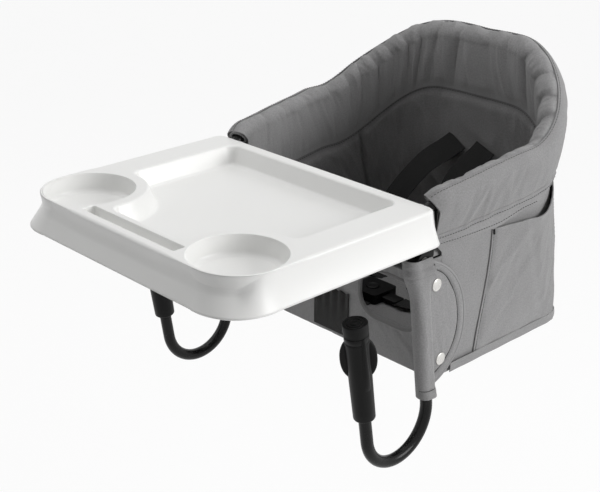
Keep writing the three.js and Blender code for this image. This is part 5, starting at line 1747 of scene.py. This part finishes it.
# %% Flap net
def flap_outline(inset=0.0):
    """The flap's edge in the cloth's own plane, moved inwards: the bottom, the bow and the top."""
    z = FLAP_WIDEST + FLAP_HALF * np.sin(np.linspace(-0.495 * math.pi, 0.495 * math.pi, 160))
    edge = np.column_stack([flap_end(z), z])
    bottom, top = ([(d, end[1]) for d in np.linspace(14, end[0], 14)[:-1]] for end in (edge[0], edge[-1]))
    edge = np.concatenate([bottom, edge, top[::-1]])
    along = unit(np.gradient(edge, axis=0))
    return edge + inset * np.column_stack([-along[:, 1], along[:, 0]])


def wrap_turn(distance, wrap_length):
    """How far the flap's cloth has turned round the hook's leg, from 0 to half a turn."""
    return np.clip(distance / wrap_length, 0, 1) * math.pi


def flap_grid():
    """The flap's net, from the front seam round the leg to the bow, and the points that are cloth."""
    z = np.linspace(FLAP_BOTTOM, FLAP_TOP, 120)
    radius, ahead = flap_wrap(z)
    wrap_length = (math.pi * radius)[:, None]
    start = leg_y(z) - ahead - wall_at(np.zeros_like(z), z)[:, 1] + SEAM_INSET
    inner = start[:, None] * (1 - np.linspace(0, 1, 14))[None, :-1]
    wrap = wrap_length * np.linspace(0, 1, 22)[:-1]
    outer = mix(wrap_length, flap_end(z)[:, None], np.linspace(0, 1, 76))
    distance = np.concatenate([inner, wrap, outer], 1)
    level = np.broadcast_to(z[:, None], distance.shape)
    x, y = flap_place(distance, level)
    edge = flap_outline()
    from_edge = np.hypot(distance[..., None] - edge[:, 0], level[..., None] - edge[:, 1]).min(-1)
    off_edge = smooth((from_edge - 3) / 12)
    crumple = smooth((level + 60) / 50) * smooth((distance - 10) / 20) * off_edge
    pucker = 0.6 * np.sin(level / 3.1 + 0.06 * distance) * crumple
    fold = 0.8 * wrinkles(distance, level, 80.0, 0.9, 2.4, 0.2) * smooth((distance - 6) / 20) * off_edge
    crest = np.sin(np.pi * np.clip(from_edge / FLAP_BORDER, 0, 1)) ** 0.6
    border = 1.9 * crest - 0.7 * bulge(from_edge, FLAP_BORDER + 1.0, 1.5)
    proud = np.where(distance > 8, pucker + np.maximum(fold, -0.3), 0) + smooth((distance - 14) / 12) * border
    turn = wrap_turn(distance, wrap_length)
    x = x - proud * np.cos(turn)
    y = y - proud * np.sin(turn)
    at_hinge_disc = (level > DISC_FOOT - 1.4) & (x < 187.4)
    return np.stack([x, y, level], -1), ~at_hinge_disc


def along_flap(inset, lift, sign):
    """A line that follows the flap's edge on the cloth, where nothing hides it."""
    line = flap_outline(inset)
    line = line[(line[:, 0] > 18) & ((line[:, 1] < -60) | (line[:, 0] > 66))]
    distance, z = line.T
    x, y = flap_place(distance, z)
    turn = wrap_turn(distance, math.pi * flap_wrap(z)[0])
    return np.column_stack([sign * (x - lift * np.cos(turn)), y - lift * np.sin(turn), z])


print("flap edge points:", len(flap_outline()))

# %% [markdown]
# The left flap is the right one mirrored. A thin piping follows the cut edge where it shows, and
# tapers out where the flap tucks in.

# %% Flaps and piping
flap_net, keep = flap_grid()
for side, sign in SIDES:
    flap = cloth_piece(f"snap_flap_{side}", flap_net * (sign, 1, 1), FLAP_CLOTH, keep=keep)
    finish_piece(flap, "frame", "grey_cloth", f"hook_flap_{side}")
    line = along_flap(0.6, 1.2, sign)
    number = np.arange(len(line))
    from_end = np.minimum(number, number[::-1])
    thickness = mix(PIPING_TIP, PIPING_RADIUS, smooth(from_end / 9))
    cord = joined(f"flap_piping_{side}", [sweep(line, thickness, 12)])
    finish_piece(cord, "frame", "grey_cloth")
print("flap height:", FLAP_TOP - FLAP_BOTTOM, "mm")

# %% [markdown]
# The snap caps are pressed steel: a rolled rim, a shallow ring and a low dome.

# %% Snaps
SNAP_HEIGHTS = {"upper": -61.0, "lower": -170.0}
SNAP_BEHIND_LEG = 42.0


def snap_profile():
    line = [(0, 0), (8.1, 0), (8.45, 0.2), (8.5, 0.55), (8.3, 0.95)]
    line += [(7.8, 1.2), (7.1, 1.25), (6.5, 1.05), (6.1, 0.95)]
    line += [(r, 0.95 + 0.62 * math.sqrt(1 - (r / 5.9) ** 2)) for r in (5.8, 5.4, 4.6, 3.6, 2.4, 1.2)]
    return line + [(0, 1.57)]


for side, sign in SIDES:
    for which, z in SNAP_HEIGHTS.items():
        place = (sign * (FLAP_LAYER + FLAP_CLOTH / 2 + 0.3), leg_y(z) + SNAP_BEHIND_LEG, z)
        cap = moved(lathe(snap_profile(), 40), place, Matrix.Rotation(sign * math.pi / 2, 4, "Y"))
        snap = joined(f"snap_cap_{which}_{side}", [cap])
        finish_piece(snap, "frame", "bright_steel", f"snap_{which}_{side}")
print("snaps:", 4)

# %% [markdown]
# ## The harness
# Flat webbing, modelled directly: two shoulder straps out of the back, two waist straps to the
# buckle's tongues, and a crotch strap. The shoulder straps sag freely and are a little cupped.

# %% Straps
WEB, WAIST_WEB, WEB_THICK = 38.0, 25.0, 1.8
CUSHION_HIGH = -165.7
STRAP_OFFSET, WAIST_REACH, WAIST_SHARE = -11.3, 38.0, 0.15
STRAP_REST = CUSHION_HIGH + WEB_THICK / 2 + 0.3
TONGUE_FOOT, TONGUE_END, TONGUE_HALF = 12.0, 52.0, 10.0
BUCKLE_Y, BUCKLE_BOTTOM, BUCKLE_TOP = 168.0, CUSHION_HIGH + 0.3, CUSHION_HIGH + 14.3
BUCKLE_MIDDLE = (BUCKLE_BOTTOM + BUCKLE_TOP) / 2


def bezier(points, k):
    points = [np.asarray(p, float) for p in points]
    k = np.asarray(k, float)[..., None]
    while len(points) > 1:
        points = [a * (1 - k) + b * k for a, b in zip(points, points[1:])]
    return points[0]


def smooth_line(points, count):
    """A Catmull-Rom line through a few places."""
    points = np.array(points, float)
    ends = np.concatenate([[2 * points[0] - points[1]], points, [2 * points[-1] - points[-2]]])
    line = []
    for k in np.linspace(0, len(points) - 1 - 1e-9, count):
        f = k - int(k)
        a, b, c, d = ends[int(k):int(k) + 4]
        bend = (2 * a - 5 * b + 4 * c - d) * f ** 2 + (3 * b - a - 3 * c + d) * f ** 3
        line.append(0.5 * (2 * b + (c - a) * f + bend))
    return np.array(line)


print("buckle:", round(BUCKLE_TOP - BUCKLE_BOTTOM, 1), "mm high")

# %% [markdown]
# The shoulder straps come out of slots in the back and fall to the cushion as free webbing does,
# each its own way. A few places along each strap are read off the photo.

# %% Shoulder straps
STRAP_ROUTES = {
    "right": [(26, 372.5, 15), (20, 361, 1), (2, 340, -30), (0, 305, -92), (26, 262, -142),
              (40, 238, -160.5), (44, 214, STRAP_REST)],
    "left": [(-26, 372.5, 15), (-35, 357, 3), (-55, 326, -22), (-75, 284, -78), (-66, 250, -136),
             (-50, 231, -160.5), (-44, 214, STRAP_REST)],
}


def strap_grid(side):
    """The strap leans forward out of its slot and then falls to the cushion, a little twisted."""
    line = smooth_line(STRAP_ROUTES[side], 72)
    along = unit(np.gradient(line, axis=0))
    k = np.linspace(0, 1, len(line))[:, None]
    facing = unit(mix(np.array((0.0, -1.0, 0.35)), np.array((0.25, -0.25, 1.0)), smooth(k * 1.15)))
    across = unit(np.cross(facing, along))
    across = across * np.sign(across[:, :1])
    t = np.linspace(-0.5, 0.5, 13)
    cupped = 1.2 * (1 - (2 * t) ** 2)[None, :, None] * np.sin(np.pi * k)[:, None]
    grid = line[:, None] + across[:, None] * (WEB * t)[None, :, None]
    return grid + cupped * unit(np.cross(along, across))[:, None]


print("route points:", [len(route) for route in STRAP_ROUTES.values()])

# %% [markdown]
# The waist straps leave the tongues level, lie down on the cushion and rise to the wall. Straps
# and tongues ride on different bodies, so each strap ends just off its tongue.

# %% Waist and crotch straps
def ribbon_grid(route, width, steps=40):
    """A flat ribbon along a soft line that a few places pull on."""
    k = np.linspace(0, 1, steps)
    line = bezier(route, k)
    along = unit(np.gradient(line, axis=0))
    sideways = unit(np.cross(along, (0, 0, 1.0)))
    t = np.linspace(-0.5, 0.5, 9)
    return line[:, None] + sideways[:, None] * (width * t)[None, :, None]


def waist_route(sign):
    """From the tongue outwards, down onto the cushion, and up to the wall."""
    share = WAIST_SHARE if sign > 0 else 1 - WAIST_SHARE
    start = np.array((sign * (TONGUE_END + 0.6), BUCKLE_Y, BUCKLE_MIDDLE))
    end = wall_at(share, -118.0, STRAP_OFFSET - 0.3)
    leaving = np.array((start[0] + sign * WAIST_REACH, BUCKLE_Y, STRAP_REST))
    arriving = end - outward_at(share, rim_at) * WAIST_REACH
    arriving[2] = STRAP_REST
    return [start, leaving, arriving, end]


for side, sign in SIDES:
    strap = cloth_piece(f"shoulder_webbing_{side}", strap_grid(side), WEB_THICK - 0.2)
    finish_piece(strap, "frame", "black_webbing", f"shoulder_strap_{side}")
    waist_net = ribbon_grid(waist_route(sign), WAIST_WEB)
    waist = cloth_piece(f"waist_webbing_{side}", waist_net, WEB_THICK - 0.2)
    finish_piece(waist, "frame", "black_webbing", f"waist_strap_{side}")
crotch = ribbon_grid([(0, 112.0, CUSHION_TOP + WEB_THICK), (0, BUCKLE_Y - 24.3, STRAP_REST)], WEB, 12)
strap = cloth_piece("crotch_webbing", crotch, WEB_THICK - 0.2)
finish_piece(strap, "frame", "black_webbing", "crotch_strap")
print("straps:", 5)

# %% Buckle button and tongues
BUTTON_TOP = BUCKLE_TOP + 2.0
BUTTON_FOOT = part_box("buckle_button")[0][2] / TO_METRES
button_line = [(0, BUTTON_FOOT), (9.7, BUTTON_FOOT), (9.95, BUTTON_FOOT + 0.2), (9.95, BUTTON_TOP - 1.4)]
button_line += [(radius, BUTTON_TOP - drop) for radius, drop in (
    (9.55, 0.5), (8.8, 0), (7.6, 0), (6.8, 0.35), (4.0, 0.75), (0, 0.85))]
button = joined("release_button", [moved(lathe(button_line, 48), (0, BUCKLE_Y, 0))])
finish_piece(button, "buckle_button", "black_plastic", "buckle_button")
for side, sign in SIDES:
    ring = rounded_box(TONGUE_FOOT, TONGUE_END, BUCKLE_Y - TONGUE_HALF, BUCKLE_Y + TONGUE_HALF,
                       [3.0, 1.5, 1.5, 3.0], 5, 4.0)
    centre = ring.mean(0)
    rings = []
    for inset, up in ((0.5, -2.0), (0.12, -1.85), (0, -1.5), (0, 1.5), (0.12, 1.85), (0.5, 2.0)):
        shrunk = centre + (ring - centre) * (1 - inset / np.array((20.0, TONGUE_HALF)))
        z = np.full(len(ring), BUCKLE_MIDDLE + up)
        rings.append(np.column_stack([sign * shrunk[:, 0], shrunk[:, 1], z]))
    tongue = joined(f"tongue_{side}", [loft(rings)])
    finish_piece(tongue, f"buckle_tongue_{side}", "black_plastic", f"buckle_tongue_{side}")
print("tongues:", 2)

# %% [markdown]
# ## Seams and stitches
# Stitches repeat along every sewn line, so one small set of geometry nodes makes them all: it
# divides a line into even steps and puts a rounded thread on each. Named inputs set the step, the
# thread's length and its radius, and the result is turned into plain mesh.

# %% Stitches
def stitch_nodes():
    tree = bpy.data.node_groups.new("stitch_row", "GeometryNodeTree")
    socket = tree.interface.new_socket
    socket("Seam line", in_out="INPUT", socket_type="NodeSocketGeometry")
    for name in ("Stitch spacing", "Stitch length", "Thread radius"):
        socket(name, in_out="INPUT", socket_type="NodeSocketFloat")
    socket("Thread material", in_out="INPUT", socket_type="NodeSocketMaterial")
    socket("Stitches", in_out="OUTPUT", socket_type="NodeSocketGeometry")
    given = add_node(tree, "NodeGroupInput").outputs
    radius = given["Thread radius"]
    curve = add_node(tree, "GeometryNodeMeshToCurve", {"Mesh": given["Seam line"]}).outputs[0]
    places = add_node(tree, "GeometryNodeResampleCurve", {
        "Curve": curve, "Length": given["Stitch spacing"]}, mode="LENGTH").outputs[0]
    ball = add_node(tree, "GeometryNodeMeshUVSphere", {"Segments": 6, "Rings": 5, "Radius": 1.0})
    thread = add_node(tree, "GeometryNodeSetShadeSmooth", {"Geometry": ball.outputs["Mesh"]}).outputs[0]
    tangent = add_node(tree, "GeometryNodeInputTangent").outputs[0]
    turn = add_node(tree, "FunctionNodeAlignRotationToVector", {"Vector": tangent}, axis="Z").outputs[0]
    half = math_node(tree, "MULTIPLY", given["Stitch length"], 0.5)
    size = add_node(tree, "ShaderNodeCombineXYZ", {"X": radius, "Y": radius, "Z": half}).outputs[0]
    row = add_node(tree, "GeometryNodeInstanceOnPoints", {
        "Points": places, "Instance": thread, "Rotation": turn, "Scale": size}).outputs[0]
    real = add_node(tree, "GeometryNodeRealizeInstances", {"Geometry": row}).outputs[0]
    painted = add_node(tree, "GeometryNodeSetMaterial", {
        "Geometry": real, "Material": given["Thread material"]}).outputs[0]
    add_node(tree, "NodeGroupOutput", {"Stitches": painted})
    return tree


STITCH_NODES = stitch_nodes()
STITCH_INPUTS = {item.name: item.identifier for item in STITCH_NODES.interface.items_tree
                 if item.in_out == "INPUT"}


def stitches(name, line, spacing, length, radius):
    """A row of stitches along a line of points. Its spacing, length and radius are in millimetres."""
    line = np.asarray(line, float) * TO_METRES
    mesh = bpy.data.meshes.new(name)
    mesh.from_pydata(line.tolist(), [(i, i + 1) for i in range(len(line) - 1)], [])
    row = link(bpy.data.objects.new(name, mesh))
    maker = row.modifiers.new("stitches", "NODES")
    maker.node_group = STITCH_NODES
    for socket, value in (("Stitch spacing", spacing), ("Stitch length", length), ("Thread radius", radius)):
        maker[STITCH_INPUTS[socket]] = value * TO_METRES
    maker[STITCH_INPUTS["Thread material"]] = MATERIALS["thread"]
    applied(row)
    row.data.materials.clear()
    return finish_piece(row, "frame", "black_webbing", look="thread")


print("stitch inputs:", list(STITCH_INPUTS))

# %% [markdown]
# A seam follows the cloth it is sewn into, so its line is taken from the same surface and lifted
# off it by a hair. Long stitches hold the hem, and short tight ones the pocket and the flap.

# %% Stitch rows
def on_cloth(surface, us, t, lift):
    """A line on a cloth surface, lifted a little off it, away from the bucket's middle."""
    near = surface(np.stack([us - 0.0006, us + 0.0006], 1), np.full((len(us), 2), t))
    down = surface(np.stack([us, us], 1), np.stack([np.full(len(us), t), np.full(len(us), t + 0.01)], 1))
    normal = unit(np.cross(near[:, 1] - near[:, 0], down[:, 1] - down[:, 0]))
    out = outward_at(np.clip(us, 0, 1), rim_at)
    return near.mean(1) + normal * np.sign(np.sum(normal * out, 1, keepdims=True)) * lift


LONG_STITCH, TOP_STITCH = (4.6, 3.2, 0.4), (4.6, 3.4, 0.35)
POCKET_STITCH, FLAP_STITCH = (2.3, 2.5, 0.5), (2.6, 2.8, 0.5)
seam_us = np.linspace(0.002 - FRONT_REACH, FRONT_REACH + 0.998, 500)
stitches("hem_stitches", on_cloth(hem_surface, seam_us, 0.955, 1.0), *LONG_STITCH)
stitches("hem_top_stitches", on_cloth(hem_surface, seam_us, 0.03, 0.9), *TOP_STITCH)
quilt_us = np.linspace(0.004, 0.996, 480)
quilt = wall_at(quilt_us, wall_top(quilt_us) + 1.0 - BAND, np.full(quilt_us.shape, -6.6))
stitches("quilt_stitches", quilt, *LONG_STITCH)
strip_us = np.linspace(0.002 - FRONT_REACH, STRIP_END - 0.03, 200)
down = np.linspace(0.02, 0.98, 120)
seam_u = pocket_start(down) + 0.0026
tab_z = np.linspace(-13, -20, 8)
tab_u = np.full(tab_z.shape, float(pocket_start(np.array(0.0))) + 0.0016)
for side, sign in SIDES:
    mirror = (sign, 1, 1)
    edge = on_cloth(strip_surface, strip_us, 0.72, 0.9)
    stitches(f"hem_strip_stitches_{side}", edge * mirror, *LONG_STITCH)
    seam = wall_at(seam_u, mix(pocket_top(seam_u), POCKET_FOOT, down), np.full(down.shape, 3.0))
    stitches(f"pocket_seam_stitches_{side}", seam * mirror, *POCKET_STITCH)
    stitches(f"flap_stitches_{side}", along_flap(FLAP_BORDER + 1.0, 0.5, sign), *FLAP_STITCH)
    tab = wall_at(tab_u, tab_z, np.full(tab_z.shape, 3.6)) * mirror
    finish_piece(joined(f"pocket_tab_{side}", [sweep(tab, 1.3, 10)]), "frame", "black_webbing")

# %% [markdown]
# ## Soft pieces that would give way
# When a hook folds back it lies along the side of the seat, with its clamp pressed into the cloth.
# The flap, with its snaps open, and the side's cloth, pad and pocket would flatten towards the
# hook's inner side, and the waist straps give when the tongues come out of the buckle. Here each
# of these pieces only gets a mesh of its own.

# %% Own meshes for the soft pieces
GIVE_WAY = (
    "snap_flap", "flap_piping", "flap_stitches", "outer_side_cloth", "quilted_side_lining", "pocket",
    "pocket_binding", "pocket_seam_stitches", "pocket_tab", "snap_cap_upper", "snap_cap_lower",
    "hem_strip", "hem_strip_stitches")
for side, sign in SIDES:
    for name in GIVE_WAY:
        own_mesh(bpy.data.objects[f"{name}_{side}"])
    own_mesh(bpy.data.objects[f"waist_webbing_{side}"])
